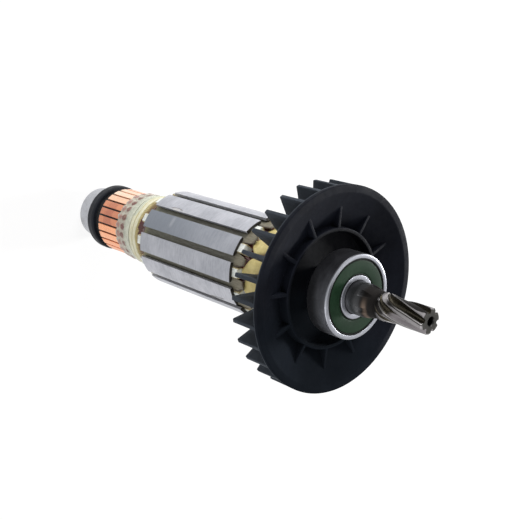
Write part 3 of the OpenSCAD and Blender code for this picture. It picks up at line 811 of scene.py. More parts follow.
@dataclass(frozen=True)
class Laminated:
    """Outside of a stack of steel sheets: fine lines across the axis, dull patches, a scuff and a dent."""

    name: str
    colour: Colour = (186, 187, 194)
    dull: Colour = (156, 158, 165)
    sheet: float = 0.5
    scuff: tuple[float, float] = (63.2, 44.5)
    line: tuple[float, float] = (65.5, 61.0)
    glint: Colour = (196, 197, 204)
    scuff_rim: Colour = (112, 104, 102)
    scuff_middle: Colour = (204, 200, 194)
    painted_tooth_shade: Colour = (118, 124, 133)
    painted_tooth_turn: float = 65.0
    dent: Colour = (62, 58, 54)
    pale: Colour = (212, 212, 212)
    # end: painted shade on the core's end faces
    end: Colour = (48, 45, 41)

    def build(self) -> bpy.types.Material:
        """Half-metallic steel with a line at each sheet, from a sine of the height, and stretched noise.

        The scuff, the pale line and the leaning dent lie at a height and an angle each, as the photo shows
        them, and one tooth carries painted shade, darker and bluer, with a little of it on the next.

        Returns:
            The material.
        """
        g = Graph(self.name)
        at = g.place()
        x, y, z = g.split(at)
        angle = g.times(g.math("ARCTAN2", y, x), 180 / math.pi)
        wave = g.math("SINE", g.times(z, 2 * math.pi / self.sheet))
        across = g.node("CombineXYZ", {0: g.times(x, 0.3), 1: g.times(y, 0.3), 2: g.times(z, 1.5)})
        sheets = g.noise(across, 1.0, 4.0, 0.6)
        cloud = g.noise(at, 0.13, 5.0, 0.62)
        grit = g.noise(at, 1.4, 4.0, 0.7)
        share = g.plus(g.span(sheets, 0.35, 0.7, 0.0, 0.4), g.span(cloud, 0.35, 0.68, 0.0, 0.6), clamp=True)
        colour = g.mix(share, self.colour, self.dull)
        colour = g.mix(g.span(grit, 0.5, 0.75, 0.0, 0.3), colour, self.glint)
        far_z = g.over(g.minus(z, self.scuff[0]), 3.0)
        far_a = g.over(g.minus(angle, self.scuff[1]), 2.6)
        away = g.plus(g.times(far_z, far_z), g.times(far_a, far_a))
        rim = g.times(g.span(away, 0.35, 0.8), g.span(away, 0.95, 1.5, 1.0, 0.0))
        rim = g.times(rim, g.span(far_a, -0.5, 0.1, 1.0, 0.0))
        colour = g.mix(g.times(rim, 0.75), colour, self.scuff_rim)
        colour = g.mix(g.span(away, 0.2, 0.8, 0.5, 0.0), colour, self.scuff_middle)
        # Painted shade: the tooth at 65 degrees is darker and bluer, less towards the front, with a little on
        # the next.
        tooth, half, edge = self.painted_tooth_turn, 11.5, 15.0
        fading = g.span(z, 58.0, 99.0, 0.95, 0.45)
        painted_tooth_shade = g.times(g.span(g.turned_by(at, tooth), half, edge, 1.0, 0.0), fading)
        painted_tooth_shade = g.plus(painted_tooth_shade, g.span(g.turned_by(at, tooth + 29.7), half, edge, 0.22, 0.0))
        colour = g.mix(painted_tooth_shade, colour, self.painted_tooth_shade)
        bent = g.size(g.minus(g.turned_by(at, 0.0), g.minus(159.6, g.times(z, 0.28))))
        dent = g.times(g.span(bent, 0.5, 1.1, 1.0, 0.0), g.span(g.size(g.minus(z, 90.7)), 3.2, 3.9, 1.0, 0.0))
        colour = g.mix(g.times(dent, 0.75), colour, self.dent)
        near = g.times(g.span(g.size(g.minus(z, self.line[0])), 0.2, 1.2, 1.0, 0.0),
                      g.span(g.size(g.minus(angle, self.line[1])), 3.0, 9.0, 1.0, 0.0))
        colour = g.mix(g.times(near, 0.16), colour, self.pale)
        # Painted shade: faces across the axis, the core's ends, are drawn dark.
        _, _, up = g.split(g.node("NewGeometry", {}, output="True Normal"))
        colour = g.mix(g.span(g.size(up), 0.6, 0.9), colour, self.end)
        rough = g.span(g.plus(sheets, g.times(cloud, 0.4)), 0.4, 1.0, 0.38, 0.52)
        height = g.plus(g.times(wave, 0.25), g.times(grit, 0.6))
        return g.finish(Base_Color=colour, Metallic=0.55, Roughness=rough, Normal=g.bump(height, 0.01))


@dataclass(frozen=True)
class Copper:
    """Commutator copper: a painted cream highlight on bars of low tone, browner patches, and a tone for each
    bar.
    """

    name: str
    # bright: painted highlight, cream, for the bars nearest +X
    bright: Colour = (255, 222, 196)
    colour: Colour = (250, 174, 128)
    patina: Colour = (186, 118, 94)
    track_from: float = 20.0
    track_to: float = 26.0
    end: Colour = (150, 82, 52)

    def build(self) -> bpy.types.Material:
        """Metal with marks round the axis and soft darker patches between two heights.

        Returns:
            The material.
        """
        g = Graph(self.name)
        at = g.place()
        _, _, z = g.split(at)
        marks = g.noise(g.round_axis(at, 5.0, 2.0), 1.0, 4.0, 0.6)
        cloud = g.noise(at, 0.45, 4.0, 0.6)
        drift = g.plus(z, g.swing(cloud, 7.0))
        band = g.times(g.span(drift, self.track_from, self.track_from + 1.5),
                      g.span(drift, self.track_to - 1.5, self.track_to, 1.0, 0.0))
        own = g.mask("tone")
        share = g.plus(g.times(band, g.span(own, 0.5, 1.0, 0.05, 0.35)), g.span(own, 0.35, 1.0, 0.0, 0.75))
        share = g.plus(share, g.span(marks, 0.45, 0.8, 0.0, 0.3), clamp=True)
        # Painted highlight: bars of low tone take the cream colour.
        colour = g.mix(g.span(own, 0.0, 0.36), self.bright, self.colour)
        colour = g.mix(share, colour, self.patina)
        colour = g.mix(g.mask("end"), colour, self.end)
        rough = g.span(marks, 0.3, 0.75, 0.26, 0.4)
        return g.finish(Base_Color=colour, Metallic=0.75, Roughness=rough, Normal=g.bump(marks, 0.003))


@dataclass(frozen=True)
class Coated:
    """Varnished winding: a coat colour over enamelled wire, brown at the coat's edge, and painted shade in
    seams.
    """

    name: str
    coat: Colour
    coat_light: Colour
    wire: Colour = (88, 26, 20)
    pores_and_shade: Colour = (92, 68, 36)
    wire_dark: Colour = (44, 14, 13)
    seam: Colour = (62, 40, 24)

    def build(self) -> bpy.types.Material:
        """Mix of wire and coat by the mesh's own values, with painted shade, drips and pores in the coat.

        Returns:
            The material.
        """
        g = Graph(self.name)
        at = g.place()
        coat = g.mask("coat")
        broad = g.noise(at, 0.35, 4.0, 0.6)
        fine = g.noise(at, 2.4, 4.0, 0.7)
        skin = g.mix(g.span(broad, 0.3, 0.72), self.coat, self.coat_light)
        shade = g.plus(g.mask("shade"), g.swing(fine, 0.5))
        # Painted shade: where the mesh's shade value is high, the coat darkens to the brown of its pores.
        skin = g.mix(g.span(shade, 0.15, 0.95, 0.0, 0.92), skin, self.pores_and_shade)
        skin = g.mix(g.span(fine, 0.6, 0.8, 0.0, 0.3), skin, self.pores_and_shade)
        wire = g.mix(g.span(fine, 0.35, 0.7), self.wire, self.wire_dark)
        over = g.plus(coat, g.swing(fine, 0.5))
        colour = g.mix(g.span(over, 0.3, 0.42), wire, self.seam)
        colour = g.mix(g.span(over, 0.45, 0.66), colour, skin)
        rough = g.span(coat, 0.2, 0.8, 0.32, 0.52)
        height = g.plus(fine, g.times(broad, 1.4))
        return g.finish(Base_Color=colour, Roughness=rough, Normal=g.bump(height, 0.04))


@dataclass(frozen=True)
class Resin:
    """Grey-green resin over the wire hooks, with the copper's pink and the burnt brown showing through."""

    name: str
    colour: Colour = (158, 160, 144)
    light: Colour = (196, 198, 180)
    pink: Colour = (150, 106, 98)
    burnt: Colour = (102, 52, 46)
    brown: Colour = (118, 88, 68)
    spots: Colour = (122, 120, 104)
    flush: Colour = (166, 144, 132)

    def build(self) -> bpy.types.Material:
        """Glossy resin whose two rows of dots come from the mesh's values.

        Returns:
            The material.
        """
        g = Graph(self.name)
        at = g.place()
        _, _, z = g.split(at)
        broad = g.noise(at, 0.6, 4.0, 0.65)
        fine = g.noise(at, 2.2, 4.0, 0.65)
        share = g.plus(g.span(broad, 0.35, 0.7, 0.0, 0.7), g.span(z, 35.0, 38.0, 0.0, 0.45), clamp=True)
        colour = g.mix(share, self.colour, self.light)
        colour = g.mix(g.span(fine, 0.52, 0.75, 0.0, 0.35), colour, self.spots)
        blot = g.swing(fine, 0.7)
        band = g.times(g.span(z, 29.6, 30.4, 0.0, 0.6), g.span(z, 34.4, 35.4, 1.0, 0.0))
        colour = g.mix(g.times(band, g.span(fine, 0.4, 0.6, 1.0, 0.2)), colour, self.flush)
        hook = g.span(g.plus(g.mask("hook"), blot), 0.24, 0.56, 0.0, 0.85)
        colour = g.mix(hook, colour, self.pink)
        burn = g.span(g.plus(g.mask("burn"), blot), 0.26, 0.56, 0.0, 0.94)
        dark = g.mix(g.span(broad, 0.4, 0.62), self.burnt, self.brown)
        colour = g.mix(burn, colour, dark)
        rough = g.span(fine, 0.3, 0.7, 0.22, 0.4)
        return g.finish(Base_Color=colour, Roughness=rough, Normal=g.bump(fine, 0.07))


@dataclass(frozen=True)
class Bound:
    """Varnished binding cord: cream on ridges, painted olive shade in its valleys, grey-green where resin
    covers it.
    """

    name: str
    colour: Colour = (214, 213, 192)
    warm: Colour = (200, 193, 156)
    valley: Colour = (172, 163, 122)
    resin: Colour = (184, 187, 168)

    def build(self) -> bpy.types.Material:
        """Satin surface with fine streaks round the axis and the colours set by the mesh's values.

        Returns:
            The material.
        """
        g = Graph(self.name)
        at = g.place()
        streak = g.noise(g.round_axis(at, 3.0, 5.0), 1.0, 4.0, 0.65)
        fine = g.noise(at, 3.0, 4.0, 0.7)
        colour = g.mix(g.span(streak, 0.35, 0.65), self.colour, self.warm)
        # Painted shade: olive in the valleys between the turns.
        low = g.plus(g.mask("valley"), g.swing(fine, 0.4))
        colour = g.mix(g.span(low, 0.2, 0.9), colour, self.valley)
        over = g.plus(g.mask("covered"), g.swing(fine, 0.5))
        colour = g.mix(g.span(over, 0.3, 0.7, 0.0, 0.95), colour, self.resin)
        rough = g.span(fine, 0.3, 0.7, 0.4, 0.58)
        return g.finish(Base_Color=colour, Roughness=rough, Normal=g.bump(g.plus(fine, streak), 0.03))


@dataclass(frozen=True)
class Fibrous:
    """Pressed paper or fibre board, with streaks along one direction."""

    name: str
    colour: Colour
    dark: Colour
    stretch: tuple[float, float, float] = (1.0, 1.0, 1.0)
    scale: float = 2.0
    roughness: float = 0.7
    depth: float = 0.03

    def build(self) -> bpy.types.Material:
        """Rough surface whose noise is scaled by the stretch in x, y and z.

        Returns:
            The material.
        """
        g = Graph(self.name)
        at = g.place()
        drawn = g.node("VectorMath", {0: at, 1: self.stretch}, operation="MULTIPLY")
        fibre = g.noise(drawn, self.scale, 5.0, 0.7)
        cloud = g.noise(at, 0.25, 4.0, 0.6)
        share = g.plus(g.span(fibre, 0.35, 0.7, 0.0, 0.7), g.span(cloud, 0.4, 0.7, 0.0, 0.4), clamp=True)
        colour = g.mix(share, self.colour, self.dark)
        rough = g.span(fibre, 0.3, 0.7, self.roughness - 0.1, self.roughness + 0.1)
        return g.finish(Base_Color=colour, Roughness=rough, Normal=g.bump(fibre, self.depth))


@dataclass(frozen=True)
class Wedge:
    """Slot wedge board: olive grey in the slot, paler where it sticks out, with painted shade along one side
    there.
    """

    name: str
    front: float = 100.0
    rear: Colour = (116, 115, 98)
    rear_dark: Colour = (88, 87, 74)
    fore: Colour = (98, 96, 84)
    fore_dark: Colour = (74, 72, 62)
    rear_end: Colour = (122, 118, 88)
    pale: Colour = (118, 113, 97)
    pale_dark: Colour = (92, 86, 70)
    # burnt: painted shade along one side past the core's face, and the colour of the darker tip
    burnt: Colour = (52, 40, 30)

    def build(self) -> bpy.types.Material:
        """Board with streaks along the axis and painted shade, ragged and brown, on one side past the core's
        face.

        Returns:
            The material.
        """
        g = Graph(self.name)
        at = g.place()
        _, _, z = g.split(at)
        drawn = g.node("VectorMath", {0: at, 1: (1.6, 1.6, 0.18)}, operation="MULTIPLY")
        fibre = g.noise(drawn, 1.6, 5.0, 0.7)
        cloud = g.noise(at, 0.7, 4.0, 0.65)
        rear = g.mix(g.span(fibre, 0.35, 0.7), self.rear, self.rear_dark)
        fore = g.mix(g.span(fibre, 0.35, 0.7), self.fore, self.fore_dark)
        colour = g.mix(g.span(g.plus(z, g.times(cloud, 14.0)), 60.0, 84.0), rear, fore)
        colour = g.mix(g.span(z, 51.5, 54.5, 1.0, 0.0), colour, self.rear_end)
        pale = g.mix(g.span(fibre, 0.35, 0.7), self.pale, self.pale_dark)
        colour = g.mix(g.span(z, self.front - 3.5, self.front + 1.0), colour, pale)
        # Painted shade: one side of the board past the core's face turns dark brown, with a ragged border.
        ragged = g.plus(g.mask("across"), g.swing(cloud, 0.5))
        burnt = g.times(g.span(ragged, 0.82, 0.95, 0.0, 0.9), g.span(z, self.front - 0.2, self.front + 0.8))
        tip = g.span(g.plus(z, g.times(cloud, 2.0)), self.front + 4.4, self.front + 5.2, 0.0, 0.6)
        colour = g.mix(g.most(burnt, tip), colour, self.burnt)
        rough = g.span(fibre, 0.3, 0.7, 0.5, 0.68)
        return g.finish(Base_Color=colour, Roughness=rough, Normal=g.bump(fibre, 0.03))


@dataclass(frozen=True)
class Palette:
    """All finishes of the armature, made once."""

    shaft: Pinion = Pinion("Finish_shaft_steel")
    bearing: Turned = Turned("Finish_bearing_steel", (186, 188, 194), (150, 150, 152), 0.32, 0.4, 0.85)
    # Front bearing, whose outer rim carries painted shade.
    painted_shade: Turned = Turned(
        "Finish_shaded_bearing", (160, 162, 170), (128, 129, 134), 0.36, 0.4, 0.85, painted_dark=0.9
    )
    balls: Turned = Turned("Finish_ball_steel", (206, 208, 212), (180, 180, 180), 0.14, 0.1, 1.0, 0.0002)
    bush: Turned = Turned("Finish_bush_steel", (150, 150, 152), (120, 116, 108), 0.35, 0.4)
    core: Laminated = Laminated("Finish_core_sheets")
    copper: Copper = Copper("Finish_copper")
    fan: FanPlastic = FanPlastic("Finish_fan_black")
    washer: Moulded = Moulded("Finish_washer_black", (19, 22, 28), (32, 36, 44), 0.5, 0.35, 2.0, 0.012, 0.22)
    moulding: Moulded = Moulded("Finish_moulding_black", (6, 6, 7), (15, 13, 13), 0.6, 0.4, 2.5, 0.015)
    sleeve: Moulded = Moulded("Finish_sleeve", (196, 186, 160), (150, 136, 108), 0.5, 0.4)
    cage: Moulded = Moulded("Finish_cage", (224, 218, 200), (190, 180, 156), 0.45, 0.3)
    green: Seal = Seal("Finish_seal_green", (23, 46, 29), (32, 56, 38), 6.66, 11.63, rim_line=0.68)
    dark: Seal = Seal("Finish_seal_dark", (32, 33, 36), (50, 50, 53), 4.91, 8.38)
    insulator: Fibrous = Fibrous(
        "Finish_insulator", (232, 235, 230), (192, 196, 190), (1, 1, 1), 1.1, 0.55, 0.03
    )
    liner: Fibrous = Fibrous("Finish_liner", (200, 188, 150), (140, 120, 80), (1, 1, 0.3), 1.8, 0.65, 0.03)
    cord: Bound = Bound("Finish_cord")
    wedge: Wedge = Wedge("Finish_wedge")
    rear_coat: Coated = Coated("Finish_rear_coat", (150, 134, 84), (180, 166, 116))
    front_coat: Coated = Coated("Finish_front_coat", (172, 156, 98), (200, 186, 126))
    resin: Resin = Resin("Finish_resin")


def declare(piece: bpy.types.Object, body: Body, slot: Slot, finish: bpy.types.Material, *nodes: str) -> None:
    """Give a piece its finish and body, and hide the CAD nodes that it stands for.

    Args:
        piece: Object of the piece.
        body: Body that it rides on.
        slot: Material slot of the record; not used.
        finish: Material of its surface.
        nodes: CAD nodes that it stands for.
    """
    piece.data.materials.append(finish)
    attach(piece, body.value)
    if nodes:
        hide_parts(*nodes)
    LOG.info("%s: %d faces", piece.name, len(piece.data.polygons))


def dress_nodes(finish: bpy.types.Material, *nodes: str) -> None:
    """Put a finish on CAD nodes that stay in view.

    Args:
        finish: Material to put on.
        nodes: Names of the CAD nodes.
    """
    for name in nodes:
        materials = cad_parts[name].data.materials
        materials.clear()
        materials.append(finish)
    LOG.info("finish %s on %s", finish.name, ", ".join(nodes))


@dataclass
class Shaft:
    """Shaft with its journals, its taper, the helical pinion and a centre hole in each end."""

    tip: float = 166.3
    teeth_from: float = 148.6
    cut_full: float = 153.6
    teeth: int = 6
    head_z: float = 149.7
    head_turn: float = 9.5
    helix_rate: float = 3.8
    curl: float = 43.0
    curl_l: float = 1.8
    hole_r: float = 1.2
    sink_r: float = 1.5
    hole_depth: float = 4.0
    bevel: float = 0.45
    around: int = 384
    land_r: tuple[Corner, ...] = (
        (142.6, 5.0), (143.35, 5.0), (143.75, 4.95), (144.3, 4.86), (144.9, 4.74), (145.8, 4.5),
        (147.2, 4.17), (148.2, 4.0), (149.0, 4.04), (149.8, 4.16), (150.5, 4.13), (151.4, 4.0),
        (152.6, 3.88), (154.0, 3.84),
    )
    land_half: tuple[Corner, ...] = (
        (149.0, 14.0), (150.5, 14.0), (151.5, 12.0), (152.5, 8.5), (153.5, 6.5), (155.0, 7.0),
        (157.0, 8.5), (159.0, 11.0), (161.0, 12.5), (166.3, 13.0),
    )
    sliver: tuple[Corner, ...] = (
        (153.0, 1.5), (156.0, 2.0), (160.0, 3.0), (163.0, 5.0), (165.0, 12.0), (166.3, 20.0),
    )
    flank: tuple[Corner, ...] = (
        (0.0, 8.0), (0.215, 4.4), (0.245, 3.8), (0.28, 3.3), (0.32, 2.92), (0.36, 2.66), (0.4, 2.52),
        (0.45, 2.46), (0.5, 2.45),
    )

    def plain(self) -> np.ndarray:
        """Radius and height along the plain shaft, from the rear centre hole to the taper.

        Returns:
            Rows of radius and height.
        """
        return np.array([
            [self.hole_r, self.hole_depth], [self.hole_r, 0.32], [self.sink_r, 0.0], [3.08, 0.0], [3.3, 0.07],
            [3.43, 0.22], [3.5, 0.42], [3.5, 6.0], [3.98, 6.0], [4.0, 6.05], [4.0, 34.2], [4.98, 34.2],
            [5.0, 34.25], [5.0, 100.0], [5.0, 130.0], [5.0, 138.0], [5.0, 140.5], [5.0, 142.6],
        ])

    def outside(self, z: np.ndarray) -> np.ndarray:
        """Radius of the taper, the swollen heads of the teeth and their lands, over the height.

        Args:
            z: Heights along the axis.

        Returns:
            The radii at the heights.
        """
        land = read_off(z, self.land_r)
        return land - 1.1 * np.maximum(z - (self.tip - self.bevel), 0.0)

    def tooth(self, turn: np.ndarray, land: np.ndarray) -> np.ndarray:
        """Radius of the cut at angles counted from the middle of a tooth, past the land without end.

        The radius runs down a bulged flank and into a round gap as the share of a tooth's step grows. The
        shares are drawn out or in, so that the flank starts at the land's half width.

        Args:
            turn: Angles in degrees.
            land: Half widths of the land as shares of a step, as a column.

        Returns:
            Radii in millimetres, a row for each half width.
        """
        share = np.abs(self.side(turn))[None]
        knee = self.flank[1][0]
        past = knee + (share - land) * (0.5 - knee) / (0.5 - land)
        return read_off(np.where(share < land, share * knee / land, past), self.flank)

    def side(self, turn: np.ndarray) -> np.ndarray:
        """Place across the nearest tooth as a share of a step, from -0.5 to 0.5 with the angle."""
        return (turn * self.teeth / FULL_TURN + 0.5) % 1.0 - 0.5

    def twist(self, height: np.ndarray) -> np.ndarray:
        """Angle of a tooth's middle: a + h d + c (1 - exp(-d / l)) with d the way from its head."""
        way = np.maximum(height, self.teeth_from) - self.head_z
        return self.head_turn + self.helix_rate * way + self.curl * (1 - np.exp(-way / self.curl_l))

    def mesh(self) -> Skin:
        """Rings of points along the shaft; past the taper each ring turns with the helix.

        There the radius is the soft least of the outside and of the cut, which rises out of the steel
        towards the taper as the cutter leaves it.

        Returns:
            The shell of the shaft.
        """
        plain = self.plain()
        angle = circle(self.around)
        first = polar(plain[:, 0, None], angle[None] + self.twist(plain[:, 1, None]), plain[:, 1, None])
        taper = np.linspace(143.0, self.teeth_from, 18)
        heads = np.linspace(self.teeth_from, self.cut_full, 60)[1:]
        teeth = np.linspace(self.cut_full, self.tip - 0.5, 52)[1:]
        bevel = self.tip - np.array([0.44, 0.4, 0.3, 0.2, 0.1, 0.04, 0.0])
        z = np.concatenate([taper, heads, teeth, bevel])[:, None]
        outside = self.outside(z)
        lift = 1.75 * (1 - smooth_step(z, self.teeth_from - 0.6, self.cut_full))
        width = read_off(z, self.land_half) * self.teeth / FULL_TURN
        cut = self.tooth(angle, width) + lift
        soft = 0.035
        radius = -soft * np.logaddexp(-cut / soft, -outside / soft)
        second = polar(radius, angle[None] + self.twist(z), z)
        end_turn = angle + self.twist(np.array([self.tip]))
        floor = self.tip - self.hole_depth
        hole = [(self.sink_r, self.tip), (self.hole_r, self.tip - 0.42), (self.hole_r, floor)]
        face = polar(np.maximum(radius[-1] - 0.25, self.sink_r + 0.3), end_turn, np.array([self.tip]))[None]
        third = np.stack([polar(np.array([r]), end_turn, np.array([h])) for r, h in hole])
        skin = Skin()
        skin.loft(np.concatenate([first, second, face, third]),
                  masks=self.parts(z, self.side(angle)[None], outside - radius, width, len(first)))
        return skin

    def parts(self, z: np.ndarray, side: np.ndarray, sunk: np.ndarray, width: np.ndarray,
              before: int) -> dict[str, np.ndarray]:
        """Values for the finish: browned by heat, in a groove, on a land, on the end face, in its hole.

        On a land, the edge is the thin painted highlight at its lower angles, the shade strip is the painted
        shadow line next to it and at the other edge, and the sliver is the part at its higher angles that the
        painted shadow spares, which widens to the tip.

        Args:
            z: Heights of the rings past the plain shaft, as a column.
            side: Places across a tooth, as shares of a step.
            sunk: Depths below the outside.
            width: Half widths of the lands, as shares of a step.
            before: Rings of the plain shaft.

        Returns:
            Arrays for all rings, by name.
        """
        head = self.head_z - 0.45 + 5.0 * side**2
        past = smooth_step(z - head, -0.12, 0.15)
        burnt = smooth_step(z, 142.6, 144.8) * (1 - past)
        groove = smooth_step(sunk, 0.05, 0.3) * smooth_step(z, 148.6, 149.2)
        land = past * (1 - smooth_step(sunk, 0.04, 0.16))
        edge = np.exp(-(((side + width) / 0.014) ** 2)) * smooth_step(z, 149.7, 150.6)
        strip = smooth_step(side + width, 0.03, 0.05) * (1 - smooth_step(side + width, 0.1, 0.13))
        strip = (strip + 0.7 * np.exp(-(((side - width + 0.01) / 0.016) ** 2))) * smooth_step(z, 151.6, 152.8)
        open_by = read_off(z, self.sliver) * self.teeth / FULL_TURN
        sliver = smooth_step(side - width + open_by, -0.012, 0.012)
        face = smooth_step(z, self.tip - 0.16, self.tip - 0.02) + 0 * side
        rings = {
            "burnt": burnt, "groove": groove * (1 - 0.6 * face), "land": land * (1 - face),
            "edge": edge * (1 - face), "strip": strip, "sliver": sliver, "face": face, "hole": 0 * face,
        }
        ends = {"face": (1.0, 1.0, 0.0, 0.0), "hole": (0.0, 0.3, 1.0, 1.0)}
        values = {}
        for name, part in rings.items():
            tail = np.repeat(np.array(ends.get(name, (0.0,) * 4)), self.around).reshape(4, -1)
            values[name] = np.concatenate([np.zeros((before, self.around)), part, tail])
        return values

    def dress(self, palette: Palette) -> None:
        """Build the shaft and give it its finish.

        Args:
            palette: Finishes of the armature.
        """
        piece = self.mesh().object("Shaft_and_pinion", crease=40.0)
        declare(piece, Body.ARMATURE, Slot.SHAFT_STEEL, palette.shaft.build(), "shaft")


@dataclass
class Bearing:
    """Sealed ball bearing: its two rings and a seal on each side; the balls and the cage stay as modelled."""

    side: str
    body: Body
    seal_slot: Slot
    face: float
    width: float
    bore_r: float
    outer_r: float
    ball_r: float
    land_r: float
    seat_r: float
    seal_t: float
    bevel: float = 0.42
    fit: float = 0.02
    play: float = 0.03
    setback: float = 0.2

    def race(self, way: float, reach: float) -> list[Corner]:
        """Arc of the raceway, p + w R cos t and m + R sin t, between its shoulders.

        Args:
            way: 1 for the outer ring and -1 for the inner ring.
            reach: Distance of the shoulders from the pitch circle.

        Returns:
            Points in radius and height, from the rear to the front.
        """
        radius = self.ball_r + self.play
        limit = math.acos(reach / radius)
        t = np.linspace(-limit, limit, 13)
        pitch = (self.bore_r + self.outer_r) / 2
        return list(zip(pitch + way * radius * np.cos(t), self.width / 2 + radius * np.sin(t)))

    def outer_ring(self) -> Skin:
        """Turned section of the outer ring with rounded bevels and the seats of the seals.

        Returns:
            The shell of the ring.
        """
        w, r, b, s = self.width, self.outer_r, self.bevel, self.seat_r
        shoulder = (self.bore_r + r) / 2 + 0.67 * self.ball_r
        zone = self.setback + self.seal_t
        corners = [
            (s + 0.12, 0.0), (r - b, 0.0), (r - 0.3 * b, 0.3 * b), (r, b), (r, w - b),
            (r - 0.3 * b, w - 0.3 * b), (r - b, w), (s + 0.12, w), (s, w - 0.12), (s, w - zone),
            (shoulder, w - zone),
        ]
        corners += self.race(1.0, 0.67 * self.ball_r)[::-1] + [(shoulder, zone), (s, zone), (s, 0.12)]
        return self.turn(corners)

    def inner_ring(self) -> Skin:
        """Turned section of the inner ring with a rounded bevel at the bore.

        Returns:
            The shell of the ring.
        """
        w, bore, land = self.width, self.bore_r + self.fit, self.land_r
        shoulder = (self.bore_r + self.outer_r) / 2 - 0.63 * self.ball_r
        zone = self.setback + self.seal_t + 0.15
        corners = [(bore + 0.25, 0.0), (land - 0.1, 0.0), (land, 0.1), (land, zone), (shoulder, zone)]
        corners += self.race(-1.0, 0.63 * self.ball_r)
        corners += [(shoulder, w - zone), (land, w - zone), (land, w - 0.1), (land - 0.1, w)]
        corners += [(bore + 0.25, w), (bore, w - 0.25), (bore, 0.25)]
        return self.turn(corners)

    def turn(self, corners: list[Corner]) -> Skin:
        """Turn a section, with its heights counted from the bearing's rear face.

        Args:
            corners: Corners of the section, in radius and height.

        Returns:
            The turned shell.
        """
        outline = rounded(corners, 0.07, 2)
        skin = Skin()
        skin.turned(outline + [0.0, self.face], 216)
        return skin

    def seal(self, way: float) -> Skin:
        """Turned section of a seal: a bead, a groove, a gently bulged middle, a groove and a lip.

        Args:
            way: 1 for the seal on the front face and -1 for the one on the rear face.

        Returns:
            The shell of the seal.
        """
        r0, r1 = self.land_r + 0.06, self.seat_r - self.fit
        s = np.linspace(0.0, 1.0, 9)
        swell = np.column_stack([r0 + 0.62 + (r1 - r0 - 1.3) * s, 0.08 - 0.08 * np.sin(np.pi * s)])
        lip = [(r0, 0.04), (r0 + 0.28, 0.04), (r0 + 0.34, 0.2), (r0 + 0.52, 0.2)]
        bead = [(r1 - 0.58, 0.2), (r1 - 0.4, 0.2), (r1 - 0.34, 0.05), (r1, 0.05)]
        corners = np.concatenate([lip, swell, bead, [(r1, self.seal_t), (r0, self.seal_t)]])
        outline = rounded(corners, 0.05, 2)
        outside = self.width - self.setback if way > 0 else self.setback
        skin = Skin()
        skin.turned(np.column_stack([outline[:, 0], self.face + outside - way * outline[:, 1]]), 180)
        return skin

    def dress(self, palette: Palette) -> None:
        """Build the rings and the seals and give them their finishes.

        Args:
            palette: Finishes of the armature.
        """
        skin = (palette.painted_shade if self.face > 0 else palette.bearing).build()
        rubber = (palette.green if self.seal_slot is Slot.SEAL_GREEN else palette.dark).build()
        title = self.side.capitalize()
        outer = self.outer_ring().object(title + "_outer_ring")
        declare(outer, self.body, Slot.BEARING_STEEL, skin, self.side + "_outer_ring")
        inner = self.inner_ring().object(title + "_inner_ring")
        declare(inner, Body.ARMATURE, Slot.BEARING_STEEL, skin, self.side + "_inner_ring")
        outside = -1.0 if self.face == 0 else 1.0
        for way, place in ((outside, "_outer_seal"), (-outside, "_inner_seal")):
            seal = self.seal(way).object(title + place)
            declare(seal, self.body, self.seal_slot, rubber, self.side + place)


